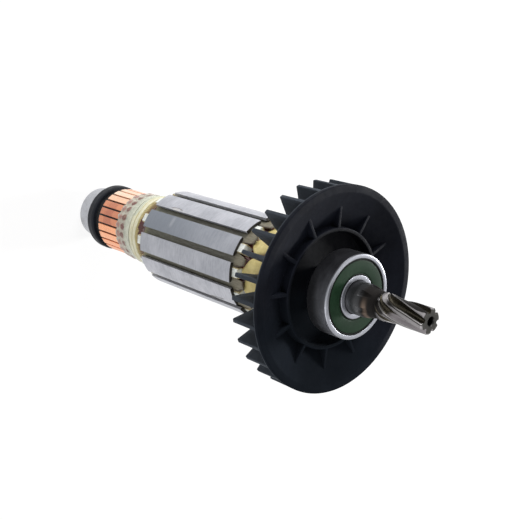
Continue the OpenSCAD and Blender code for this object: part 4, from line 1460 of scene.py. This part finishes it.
@dataclass
class Fan:
    """Radial fan: turned hub, recess, dish and rim, with blades behind and ribs in front."""

    rim_z: float = 130.9
    front_z: float = 130.7
    rear_z: float = 116.7
    bore_r: float = 5.02
    hub_r: float = 6.5
    rim_r: float = 32.0
    band_r: float = 29.7
    ring_r: float = 18.8
    ring_t: float = 1.2
    wall: float = 1.8
    rim_t: float = 1.7
    dish: float = 5.2
    recess: float = 6.7
    setback: float = 2.1
    blades: int = 29
    blade_phase: float = 10.5
    blade_t: float = 1.25
    blade_depth: float = 11.2
    ribs: int = 12
    rib_phase: float = 4.5
    rib_t: float = 1.0

    def outline(self) -> list[Corner]:
        """Corners of the turned section, in radius and height.

        Returns:
            Corners in radius and height.
        """
        floor = self.rim_z - self.recess
        inner = self.ring_r - self.ring_t
        bore, hub = self.bore_r, self.hub_r
        return [
            (bore, self.rear_z), (hub, self.rear_z), (hub, floor - self.wall),
            (self.ring_r, floor - self.wall),
            (self.ring_r, self.rim_z - self.dish - self.wall), (self.band_r, self.rim_z - self.rim_t),
            (self.rim_r, self.rim_z - self.rim_t), (self.rim_r, self.rim_z), (self.band_r, self.rim_z),
            (self.ring_r, self.rim_z - self.dish), (self.ring_r, self.rim_z - self.setback),
            (inner, self.rim_z - self.setback), (inner, floor + 1.0), (inner - 1.0, floor),
            (hub, floor), (hub, self.front_z), (bore, self.front_z),
        ]

    def mesh(self) -> Skin:
        """Turned body with rounded edges, and a rounded plate for each blade and each rib.

        Returns:
            The shells of the body, the blades and the ribs.
        """
        skin = Skin()
        skin.turned(resampled(rounded(self.outline(), 0.3), 2.5), 240)
        inner, outer, sunk = self.ring_r - 0.5, self.rim_r - 0.05, self.wall / 2
        blade = resampled(rounded([
            (inner, self.rim_z - self.blade_depth), (outer, self.rim_z - self.blade_depth),
            (outer, self.rim_z - sunk), (self.band_r, self.rim_z - sunk),
            (inner, self.rim_z - self.dish - sunk),
        ], 0.45), 1.5)
        for k in range(self.blades):
            skin.slab(blade, self.blade_t, 0.22, upright(self.blade_phase + k * FULL_TURN / self.blades))
        reach = self.ring_r + (self.band_r - self.ring_r) * (1 - self.setback / self.dish)
        rib = resampled(rounded([
            (self.ring_r - 0.4, self.rim_z - self.setback - 0.1), (reach, self.rim_z - self.setback - 0.1),
            (reach, self.rim_z - self.setback - 0.5), (self.ring_r - 0.4, self.rim_z - self.dish - 0.5),
        ], 0.15), 1.0)
        for k in range(self.ribs):
            skin.slab(rib, self.rib_t, 0.12, upright(self.rib_phase + k * FULL_TURN / self.ribs))
        return skin

    def dress(self, palette: Palette) -> None:
        """Build the fan and give it its finish.

        Args:
            palette: Finishes of the armature.
        """
        piece = self.mesh().object("Fan")
        declare(piece, Body.ARMATURE, Slot.FAN_BLACK, palette.fan.build(), "fan")


@dataclass
class Commutator:
    """Copper bars with rounded ends and wire hooks, and the resin band over the hooks."""

    bars: int = 24
    first_bar: float = 12.8
    z_rear: float = 16.9
    z_resin: float = 29.1
    z_front: float = 33.6
    top_r: float = 11.9
    foot_r: float = 8.7
    slit_half: float = 0.325
    end_round: float = 0.35
    hook: tuple[float, float, float] = (1.7, 30.2, 32.4)
    hook_r: float = 12.15
    resin_end: float = 38.3
    resin_inner_r: float = 11.95
    resin_most_r: float = 12.94
    resin_r: tuple[Corner, ...] = ((29.1, 12.16), (29.6, 12.3), (33.6, 12.34), (36.0, 12.58), (38.3, 12.78))
    dot: tuple[float, float] = (1.22, 1.35)
    dot_z: float = 31.1
    # The first three bars, nearest +X, have low tones so that they take the painted highlight.
    tones: tuple[float, ...] = (0.05, 0.0, 0.16, 0.8, 1.0, 0.85, 0.3, 0.27, 0.36, 0.4)

    def bar_rings(self, middle: float, seed: int) -> tuple[np.ndarray, np.ndarray]:
        """Rings of one bar: its section moved in by e(1 - sin t) at the ends, with t over the rounding.

        Args:
            middle: Angle of the bar's middle.
            seed: Seed of the bar's small differences.

        Returns:
            The rings, and the end value on their points.
        """
        chance = np.random.default_rng(seed)
        half_step = FULL_TURN / self.bars / 2
        share = np.linspace(-1.0, 1.0, 9)
        ends = [half_step - math.degrees(math.asin(self.slit_half / r)) for r in (self.top_r, self.foot_r)]
        radii = np.repeat([self.top_r, self.foot_r], len(share))
        flat = polar(radii, np.concatenate([share * ends[0], -share * ends[1]]), 0.0)[:, :2]
        flat = resampled(rounded(flat, 0.12, 2), 0.8)
        t = np.linspace(0.0, np.pi / 2, 5)
        rise = self.end_round * (1 - np.cos(t))
        low = self.z_rear + chance.uniform(0.0, 0.12)
        straight = np.linspace(low + 1.0, self.z_front - 1.0, 12)
        z = np.concatenate([low + rise, straight, self.z_front - rise[::-1]])
        cut = self.end_round * (1 - np.sin(t))
        cut = np.concatenate([cut, 0 * straight, cut[::-1]])
        rings = np.stack([np.column_stack([inset(flat, c), np.full(len(flat), h)]) for c, h in zip(cut, z)])
        worn = 0.05 * smooth_step(z, 18.0, 20.0) * (1 - smooth_step(z, 25.5, 27.5))
        outer = np.linalg.norm(rings[..., :2], axis=2) > self.top_r - 0.3
        scale = 1 - worn[:, None] / self.top_r * outer
        rings[..., :2] *= scale[..., None]
        turn = math.radians(middle)
        spin = np.array([[math.cos(turn), -math.sin(turn)], [math.sin(turn), math.cos(turn)]])
        rings[..., :2] = rings[..., :2] @ spin.T
        end = np.broadcast_to(smooth_step(cut, 0.12, 0.35)[:, None], rings.shape[:2])
        return rings, end

    def bars_mesh(self) -> Skin:
        """All bars, and a rounded block for each hook.

        Returns:
            The shells of the bars and the hooks.
        """
        skin = Skin()
        tones = np.random.default_rng(5).uniform(0.15, 0.65, self.bars)
        tones[:len(self.tones)] = self.tones
        width, low, high = self.hook
        foot = self.top_r - 0.3
        block = rounded([(foot, low), (self.hook_r, low), (self.hook_r, high), (foot, high)], 0.2)
        for k in range(self.bars):
            middle = self.first_bar + k * FULL_TURN / self.bars
            rings, end = self.bar_rings(middle, k)
            tone = np.full(rings.shape[:2], tones[k])
            skin.loft(rings, masks={"tone": tone, "end": end})
            skin.slab(block, width, 0.3, upright(middle))
        return skin

    def resin_mesh(self) -> Skin:
        """Resin band whose radius is a profile plus a bump on each hook, a second row of dots and lumps.

        Returns:
            The shell of the band.
        """
        rows = 60
        angle = circle(ROUND_POINTS)[None]
        share = np.linspace(0.0, 1.0, rows)[:, None]
        wander = ripple(angle, 0 * angle, 11, [(24, 0), (17, 0), (41, 0), (9, 0), (5, 0)])
        slit = np.cos(np.radians((angle - self.first_bar) * self.bars))
        start = self.z_resin + 0.2 - 0.3 * slit + 0.6 * wander
        z = start + (self.resin_end + cord_wander(angle) - start) * share
        step = FULL_TURN / self.bars
        which = np.round((angle - self.first_bar) / step)
        chance = np.random.default_rng(3)
        shift = chance.uniform(-1.0, 1.0, (self.bars, 6))[which.astype(int) % self.bars]
        off = (angle - self.first_bar - which * step) * np.pi / 180 * self.top_r
        bend = 33.5 + 1.0 * np.minimum((wrapped(angle - 75.0) / 55.0) ** 2, 1.0)
        wide, tall = self.dot
        hook_z = self.dot_z + 0.25 * shift[..., 1]
        near = ((off - 0.2 * shift[..., 0]) / wide) ** 2 + ((z - hook_z) / tall) ** 2
        burn_z = bend + 0.2 * shift[..., 3]
        burn = ((off - 0.2 * shift[..., 2]) / wide) ** 2 + ((z - burn_z) / tall) ** 2
        near, burn = np.exp(-near), np.exp(-burn)
        profile = read_off(z, self.resin_r)
        lumps = ripple(angle, z, 12, [(13, 0.9), (21, -0.8), (31, 1.4), (7, 0.5), (47, 1.9), (60, -2.2)])
        calm = 1 - 0.8 * smooth_step(z, 34.6, 36.6)
        radius = profile + 0.2 * near + 0.2 * burn + calm * (0.13 * lumps + 0.04 * slit)
        edge = smooth_step(share, 0.0, 0.06)
        radius = self.resin_inner_r + 0.05 + (radius - self.resin_inner_r - 0.05) * (0.35 + 0.65 * edge)
        rings = polar(np.minimum(radius, self.resin_most_r), angle, z)
        near *= 0.85 + 0.15 * shift[..., 4]
        burn *= 0.9 + 0.1 * shift[..., 5]
        skin = Skin()
        skin.band(angle, rings, self.resin_inner_r, {"hook": (near, 0.0, 0.0), "burn": (burn, 0.0, 0.0)})
        return skin

    def dress(self, palette: Palette) -> None:
        """Build the bars and the resin and give them their finishes.

        Args:
            palette: Finishes of the armature.
        """
        bars = self.bars_mesh().object("Commutator_bars")
        declare(bars, Body.ARMATURE, Slot.COPPER, palette.copper.build(), "commutator_bars")
        resin = self.resin_mesh().object("Lead_resin", crease=60.0)
        declare(resin, Body.ARMATURE, Slot.RESIN_GREY, palette.resin.build(), "lead_resin")


@dataclass
class Winding:
    """Winding: the varnished coil heads at both ends, the wires in the slots and the cord round the leads."""

    slots: int = 12
    slot_phase: float = 19.7
    inner_r: float = 6.6
    z_rear: float = 48.1
    z_front: float = 100.35
    wire_d: float = 0.8
    cord_z: float = 38.4
    cord_w: float = 2.1
    cord_t: float = 1.2
    cord_pitch: float = 2.05
    cord_seat_r: float = 11.82
    tooth_half: float = 1.65
    wire_gap: float = 0.45
    layers: tuple[tuple[float, int], ...] = ((13.8, 5), (12.95, 5), (12.1, 4))
    rear_most_r: float = 12.95
    front_most_r: float = 14.38
    rear_r: tuple[Corner, ...] = (
        (34.8, 11.86), (38.1, 11.86), (38.15, 11.78), (42.35, 11.78), (42.45, 12.5), (43.1, 12.82),
        (45.4, 12.5), (48.1, 12.0),
    )
    front_r: tuple[Corner, ...] = (
        (100.3, 12.9), (102.6, 13.3), (104.0, 13.8), (105.6, 14.1), (107.8, 14.2), (110.0, 13.7),
        (112.2, 12.7), (113.6, 11.7), (114.5, 10.6),
    )
    rear_coat: tuple[Corner, ...] = (
        (0, 47.4), (20, 46.6), (40, 47.9), (58, 46.4), (62, 44.4), (70, 43.8), (80, 43.9), (91, 44.3),
        (98, 46.6), (112, 47.0), (130, 46.2), (160, 47.6), (200, 45.4), (228, 47.4), (250, 45.2),
        (276, 47.5), (300, 46.0), (330, 47.6),
    )
    front_coat: tuple[Corner, ...] = (
        (0, 104.5), (14, 103.6), (25, 100.0), (40, 100.0), (51, 101.8), (62, 104.6), (68.5, 106.3),
        (72, 105.5), (88, 102.4), (95.5, 100.6), (107, 100.1), (114, 100.6), (120, 103.1),
        (140, 106.0), (158, 101.6), (176, 103.2), (194, 106.6), (212, 102.2), (230, 101.4),
        (250, 105.8), (270, 106.4), (290, 101.8), (310, 102.6), (328, 106.7), (345, 102.6),
    )
    seams: tuple[float, ...] = (5, 36, 71, 98, 127, 158, 190, 224, 256, 288, 318, 340)

    def rear_mesh(self) -> Skin:
        """Rear coil head: a profile of radius over height with oblique wires under the coat.

        The coat ends at heights read off the photo where it shows and guessed elsewhere, and so does the
        front one's.

        Returns:
            The shell of the coil head.
        """
        rows = 72
        angle = circle(ROUND_POINTS)[None]
        z = np.linspace(self.rear_r[0][0], self.z_rear, rows)[:, None]
        beat = np.cos(np.radians((angle - self.slot_phase) * self.slots))
        base = read_off(z, self.rear_r)
        lumps = ripple(angle, z, 21, [(11, 0.6), (19, -0.9), (29, 1.3), (7, 0.4), (43, -1.2)])
        edge = self.coat_edge(angle, self.rear_coat)
        edge = edge + 0.4 * ripple(angle, 0 * angle, 22, [(33, 0), (21, 0), (47, 0)])
        coat = smooth_step(edge - z, -0.3, 0.3)
        free = smooth_step(z, 42.4, 43.4)
        strand = np.abs(np.sin(np.radians(angle) * 54 + 0.9 * z))
        radius = base + free * (0.13 * lumps + 0.1 * strand * coat - 0.08 * beat * (z - 43.2) / 4
                                + (1 - coat) * (0.24 * strand - 0.25))
        rings = polar(np.minimum(radius, self.rear_most_r), angle, z)
        shade = 0.9 * smooth_step(z, 42.8, 45.4) + 0.35 * (strand < 0.35) * free
        skin = Skin()
        skin.band(angle, rings, self.inner_r, {"coat": (coat, 1.0, 0.0), "shade": (shade, 0.0, 1.0)})
        return skin

    def coat_edge(self, angle: np.ndarray, knots: tuple[Corner, ...]) -> np.ndarray:
        """Height of a coat's edge, straight between knots of angle and height, closed at a full turn."""
        return read_off(angle, knots + ((FULL_TURN, knots[0][1]),))

    def front_mesh(self) -> Skin:
        """Front coil head: a domed profile with pillows between leaning seams, and bare wire at the core.

        The radius is the wires' plus the coat's share of what the pillowed dome adds.

        Returns:
            The shell of the coil head.
        """
        rows = 100
        angle = circle(ROUND_POINTS)[None]
        z = np.linspace(self.z_front, self.front_r[-1][0], rows)[:, None]
        dome = read_off(z, self.front_r)
        edge = self.coat_edge(angle, self.front_coat)
        coat = smooth_step(z - edge, -0.4, 0.4)
        seams = np.array(self.seams)[:, None, None]
        lean = wrapped(angle[None] - seams + 1.6 * (z[None] - 105.0))
        near = np.abs(lean).min(axis=0)
        seam = np.exp(-((near / 2.2) ** 2))
        pillow = 0.5 * smooth_step(near, 0.0, 13.0)
        swell = ripple(angle, z, 31, [(7, 0.35), (5, 0.2), (17, -0.6)])
        strand = np.abs(np.sin(np.radians(angle) * 66 - 1.1 * z))
        wires = 12.0 + 0.3 * strand - 0.25 * smooth_step(z, 103.0, 107.0)
        lip = 0.25 * np.exp(-(((z - edge - 0.9) / 0.9) ** 2))
        body = dome - 0.4 + pillow + 0.16 * swell + lip - 0.55 * seam
        radius = wires + (np.minimum(body, self.front_most_r) - wires) * coat
        rings = polar(radius, angle, z)
        shade = 0.9 * seam + 0.45 * smooth_step(z, 108.0, 111.5) + 0.3 * (1 - smooth_step(near, 0.0, 9.0))
        skin = Skin()
        skin.band(angle, rings, self.inner_r, {"coat": (coat, 0.0, 1.0), "shade": (shade, 0.0, 1.0)})
        return skin

    def slot_mesh(self) -> Skin:
        """Wires of the slots in three layers, straight through the core and bending in at both ends.

        Each is a tube along r = layer less the bend's smooth step, at an angle that leans past the core.

        Returns:
            The shells of the wires.
        """
        skin = Skin()
        behind, inside = np.linspace(46.2, 52.0, 8), np.linspace(58.0, 94.0, 4)
        front = np.linspace(99.6, 105.0, 8)
        z = np.concatenate([behind, inside, front])
        drop = 1.4 * smooth_step(-z, -49.2, -46.2) + 1.6 * smooth_step(z, 101.0, 105.0)
        chance = np.random.default_rng(41)
        wall = math.radians(FULL_TURN / self.slots / 2)
        for k in range(self.slots):
            middle = self.slot_phase + k * FULL_TURN / self.slots
            for radius, count in self.layers:
                half = radius * math.tan(wall) - self.tooth_half / math.cos(wall) - self.wire_gap
                for place in np.linspace(-1.0, 1.0, count):
                    side = place * max(half, 0.2) + chance.uniform(-0.08, 0.08)
                    lean = 1.2 * chance.uniform(-1.0, 1.0) * smooth_step(np.abs(z - 76.0), 25.5, 29.5)
                    far = radius + chance.uniform(-0.08, 0.05) - drop
                    turn = middle + np.degrees((side + lean) / radius)
                    skin.tube(polar(far, turn, z), self.wire_d / 2, 6)
        return skin

    def cord_mesh(self) -> Skin:
        """Two flattened turns of cord: the radius is c + t/2 sqrt(1 - u^2) over the nearer turn's width.

        u is the share of half the width. Crossed strands add sin(n a + k z) sin(n a - k z). Resin covers
        the first turn where the photo shows it, and the coat narrows the second.

        Returns:
            The shell of the cord.
        """
        rows = 52
        angle = circle(ROUND_POINTS)[None]
        length = self.cord_pitch + self.cord_w
        rise = np.linspace(0.0, 1.0, rows)[:, None] * length
        middles = np.array([0.5 * self.cord_w, self.cord_pitch + 0.5 * self.cord_w])[:, None, None]
        u = np.abs(rise[None] - middles) / (0.5 * self.cord_w)
        bulge = np.maximum(1 - u**2, 0.0).max(axis=0) ** 0.5
        turn = np.radians(angle)
        strands = 0.03 * np.sin(44 * turn + 2.6 * rise) * np.sin(44 * turn - 2.6 * rise) * bulge
        sag = 0.05 * ripple(angle, rise, 53, [(3, 0.3), (7, -0.5), (11, 0.2)])
        radius = self.cord_seat_r + self.cord_t / 2 * (1 + bulge) + strands + sag - 0.05
        z = self.cord_z + cord_wander(angle) + rise
        rings = polar(radius, angle, z)
        away = np.abs(wrapped(angle - 20.0))
        covered = (1 - smooth_step(away, 38.0, 52.0)) * (1 - smooth_step(rise, 1.2, 2.2))
        covered = covered + (smooth_step(away, 120.0, 135.0)) * (1 - smooth_step(rise, 1.0, 1.8)) * 0.8
        # Painted shade at the sides of each turn.
        valley = smooth_step(u.min(axis=0), 0.6, 1.0)
        masks = {"covered": (np.clip(covered, 0, 1), 0.0, 0.0), "valley": (valley, 0.0, 1.0)}
        skin = Skin()
        skin.band(angle, rings, self.cord_seat_r, masks)
        return skin

    def dress(self, palette: Palette) -> None:
        """Build the coil heads, the wires and the cord and give them their finishes.

        Args:
            palette: Finishes of the armature.
        """
        rear = self.rear_mesh().object("Rear_coil_head", crease=70.0)
        declare(rear, Body.ARMATURE, Slot.COATED_WIRE, palette.rear_coat.build(), "winding")
        front = self.front_mesh().object("Front_coil_head", crease=70.0)
        coat = palette.front_coat.build()
        declare(front, Body.ARMATURE, Slot.COATED_WIRE, coat, "winding")
        wires = self.slot_mesh().object("Slot_wires")
        declare(wires, Body.ARMATURE, Slot.COATED_WIRE, coat, "winding")
        cord = self.cord_mesh().object("Binding_cord", crease=50.0)
        declare(cord, Body.ARMATURE, Slot.CORD_CREAM, palette.cord.build(), "binding_cord")


@dataclass
class SlotWedges:
    """Boards that close the slots, a little arched, and narrower and drooping where they leave the core."""

    slots: int = 12
    slot_phase: float = 19.7
    z_rear: float = 51.1
    z_core_end: float = 100.0
    z_front: float = 104.3
    top_r: float = 15.17
    thickness: float = 0.7
    half_top: float = 2.33
    half_floor: float = 2.14

    def mesh(self) -> Skin:
        """A loft for each board; its section is x = r, y = s w, with r less by b s^2 for the arch.

        Returns:
            The shells of the boards.
        """
        skin = Skin()
        chance = np.random.default_rng(17)
        s = np.linspace(-1.0, 1.0, 9)
        side = np.concatenate([s, s[::-1]])
        top = np.concatenate([np.ones(9), np.zeros(9)])
        rear, tip = [self.z_rear, self.z_rear + 0.08], [self.z_front - 0.06, self.z_front]
        inside, out = np.linspace(52.0, 99.6, 26), np.linspace(100.1, 104.1, 14)
        z = np.concatenate([rear, inside, out, tip])[:, None]
        past = smooth_step(z, self.z_core_end, self.z_front)
        closing = np.ones_like(z)
        closing[[0, -1]] = 0.97
        for k in range(self.slots):
            taper = 1 - past * chance.uniform(0.36, 0.5) - 0.04 * past * np.sin(2.6 * z + k)
            sag, curl = chance.uniform(0.05, 0.2), chance.uniform(0.0, 0.25)
            droop = past * (sag + curl * np.maximum(side, 0.0) ** 2)
            width = np.where(top > 0, self.half_top, self.half_floor)[None] * taper * closing
            thin = self.thickness * (1 - 0.35 * past)
            radius = self.top_r - (1 - top) * thin - 0.07 * side**2 * top * (1 - past) - droop
            shift = past * chance.uniform(-0.3, 0.3)
            turn = math.radians(self.slot_phase + k * FULL_TURN / self.slots)
            x, y = radius, side * width + shift
            across = x * math.cos(turn) - y * math.sin(turn)
            along = x * math.sin(turn) + y * math.cos(turn)
            rings = np.stack([across, along, np.broadcast_to(z, x.shape)], axis=2)
            skin.loft(rings, masks={"across": np.broadcast_to(0.5 + 0.5 * side, x.shape)})
        return skin

    def dress(self, palette: Palette) -> None:
        """Build the boards and give them their finish.

        Args:
            palette: Finishes of the armature.
        """
        piece = self.mesh().object("Slot_wedges")
        declare(piece, Body.ARMATURE, Slot.WEDGE_OLIVE, palette.wedge.build(), "slot_wedges")


@dataclass
class CadFinishes:
    """Finishes of the CAD nodes that stay in view as they are."""

    def dress(self, palette: Palette) -> None:
        """Put each finish on its nodes.

        Args:
            palette: Finishes of the armature.
        """
        dress_nodes(palette.balls.build(), "rear_balls", "front_balls")
        dress_nodes(palette.cage.build(), "rear_cage", "front_cage")
        dress_nodes(palette.core.build(), "lamination_core")
        dress_nodes(palette.insulator.build(), "rear_end_insulator", "front_end_insulator")
        dress_nodes(palette.liner.build(), "slot_liners")
        dress_nodes(palette.moulding.build(), "commutator_moulding")
        dress_nodes(palette.bush.build(), "commutator_bush")
        dress_nodes(palette.washer.build(), "insulating_washer")
        dress_nodes(palette.sleeve.build(), "shaft_insulation")


@dataclass
class Studio:
    """Pale floor, soft lamps, white surroundings and the camera at the photo's viewing angle."""

    sensor: float = 36.0
    focal_pixels: float = 992.245
    photo_pixels: float = 520.0
    eye: tuple[float, float, float] = (52.634, 215.601, 327.489)
    right: tuple[float, float, float] = (0.144223, -0.741055, 0.655772)
    up: tuple[float, float, float] = (0.976659, 0.0, -0.214795)
    back: tuple[float, float, float] = (0.159175, 0.671444, 0.723758)
    aim: tuple[float, float, float] = (0.0, 0.0, 85.0)
    ambient: float = 0.36
    floor_reach: float = 4.0
    floor_z: float = -0.0002

    def camera(self) -> None:
        """Set the camera worked out from the photo's round edges."""
        data = bpy.data.cameras.new("Photo_camera")
        data.sensor_width = self.sensor
        data.lens = self.sensor * self.focal_pixels / self.photo_pixels
        data.clip_start = 0.01
        camera = bpy.data.objects.new("Photo_camera", data)
        bpy.context.scene.collection.objects.link(camera)
        turn = Matrix((self.right, self.up, self.back)).transposed().to_4x4()
        camera.matrix_world = Matrix.Translation(Vector(self.eye) * MM) @ turn
        bpy.context.scene.camera = camera

    def lamp(self, name: str, place: tuple[float, float, float], size: float, power: float) -> None:
        """Hang a square soft lamp that faces the middle of the part.

        Args:
            name: Name of the lamp.
            place: Its place in millimetres.
            size: Side of the square in metres.
            power: Power in watts.
        """
        data = bpy.data.lights.new(name, "AREA")
        data.size = size
        data.energy = power
        lamp = bpy.data.objects.new(name, data)
        bpy.context.scene.collection.objects.link(lamp)
        away = (Vector(place) - Vector(self.aim)) * MM
        turn = away.to_track_quat("Z", "Y").to_matrix().to_4x4()
        lamp.matrix_world = Matrix.Translation(Vector(place) * MM) @ turn

    def seen_light(self, tree: bpy.types.NodeTree) -> bpy.types.NodeSocket:
        """Value that is 1 for rays of the camera and of gloss or glass, and 0 for the rest.

        Args:
            tree: Nodes that the value is for.

        Returns:
            The output socket.
        """
        path = tree.nodes.new("ShaderNodeLightPath")
        total = path.outputs["Is Camera Ray"]
        for name in ("Is Glossy Ray", "Is Transmission Ray"):
            add = tree.nodes.new("ShaderNodeMath")
            add.operation = "MAXIMUM"
            tree.links.new(total, add.inputs[0])
            tree.links.new(path.outputs[name], add.inputs[1])
            total = add.outputs[0]
        return total

    def world(self) -> None:
        """White surroundings for the eye and for gloss, and a plain level of light for the rest."""
        world = bpy.data.worlds.new("Surroundings")
        world.use_nodes = True
        tree = world.node_tree
        background = tree.nodes["Background"]
        background.inputs["Color"].default_value = (1.0, 1.0, 1.0, 1.0)
        level = tree.nodes.new("ShaderNodeMapRange")
        level.inputs["To Min"].default_value = self.ambient
        level.inputs["To Max"].default_value = 1.0
        tree.links.new(self.seen_light(tree), level.inputs["Value"])
        tree.links.new(level.outputs[0], background.inputs["Strength"])
        bpy.context.scene.world = world

    def floor(self) -> None:
        """Pale floor that looks white and keeps a soft shadow."""
        mesh = bpy.data.meshes.new("Floor")
        far, level = self.floor_reach, self.floor_z
        corners = [(-far, -far, level), (far, -far, level), (far, far, level), (-far, far, level)]
        mesh.from_pydata(corners, [], [(0, 1, 2, 3)])
        floor = bpy.data.objects.new("Floor", mesh)
        bpy.context.scene.collection.objects.link(floor)
        graph = Graph("Finish_floor")
        tree = graph.tree
        matte = tree.nodes.new("ShaderNodeBsdfDiffuse")
        matte.inputs["Color"].default_value = (0.85, 0.85, 0.85, 1.0)
        glow = tree.nodes.new("ShaderNodeEmission")
        glow.inputs["Strength"].default_value = 1.06
        share = tree.nodes.new("ShaderNodeMath")
        share.operation = "MULTIPLY"
        share.inputs[1].default_value = 0.8
        tree.links.new(self.seen_light(tree), share.inputs[0])
        blend = tree.nodes.new("ShaderNodeMixShader")
        tree.links.new(share.outputs[0], blend.inputs[0])
        tree.links.new(matte.outputs[0], blend.inputs[1])
        tree.links.new(glow.outputs[0], blend.inputs[2])
        output = next(node for node in tree.nodes if node.type == "OUTPUT_MATERIAL")
        tree.links.new(blend.outputs[0], output.inputs["Surface"])
        mesh.materials.append(graph.material)

    def build(self) -> None:
        """Set up everything round the part."""
        self.camera()
        self.world()
        self.floor()
        self.lamp("Key", (640.0, -20.0, 240.0), 0.36, 4.4)
        self.lamp("Fill", (-400.0, 480.0, 380.0), 0.45, 1.9)
        self.lamp("Side", (90.0, -600.0, 330.0), 0.13, 4.0)
        bpy.context.scene.view_settings.view_transform = "Standard"
        LOG.info("studio ready")


def main() -> None:
    """Build and dress every sub-assembly, then the studio."""
    logging.basicConfig(level=logging.INFO, format="%(name)s: %(message)s")
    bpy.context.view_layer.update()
    palette = Palette()
    rear = Bearing("rear", Body.REAR_OUTER, Slot.SEAL_DARK, 0.0, 6.0, 3.5, 9.5, 1.75, 4.85, 8.4, 0.6)
    front = Bearing("front", Body.FRONT_OUTER, Slot.SEAL_GREEN, 130.7, 8.0, 5.0, 13.0, 2.38, 6.6, 11.65, 0.8)
    for assembly in (Shaft(), rear, front, Fan(), Commutator(), Winding(), SlotWedges(), CadFinishes()):
        LOG.info("building %s", type(assembly).__name__)
        assembly.dress(palette)
    Studio().build()


if __name__ == "__main__":
    main()
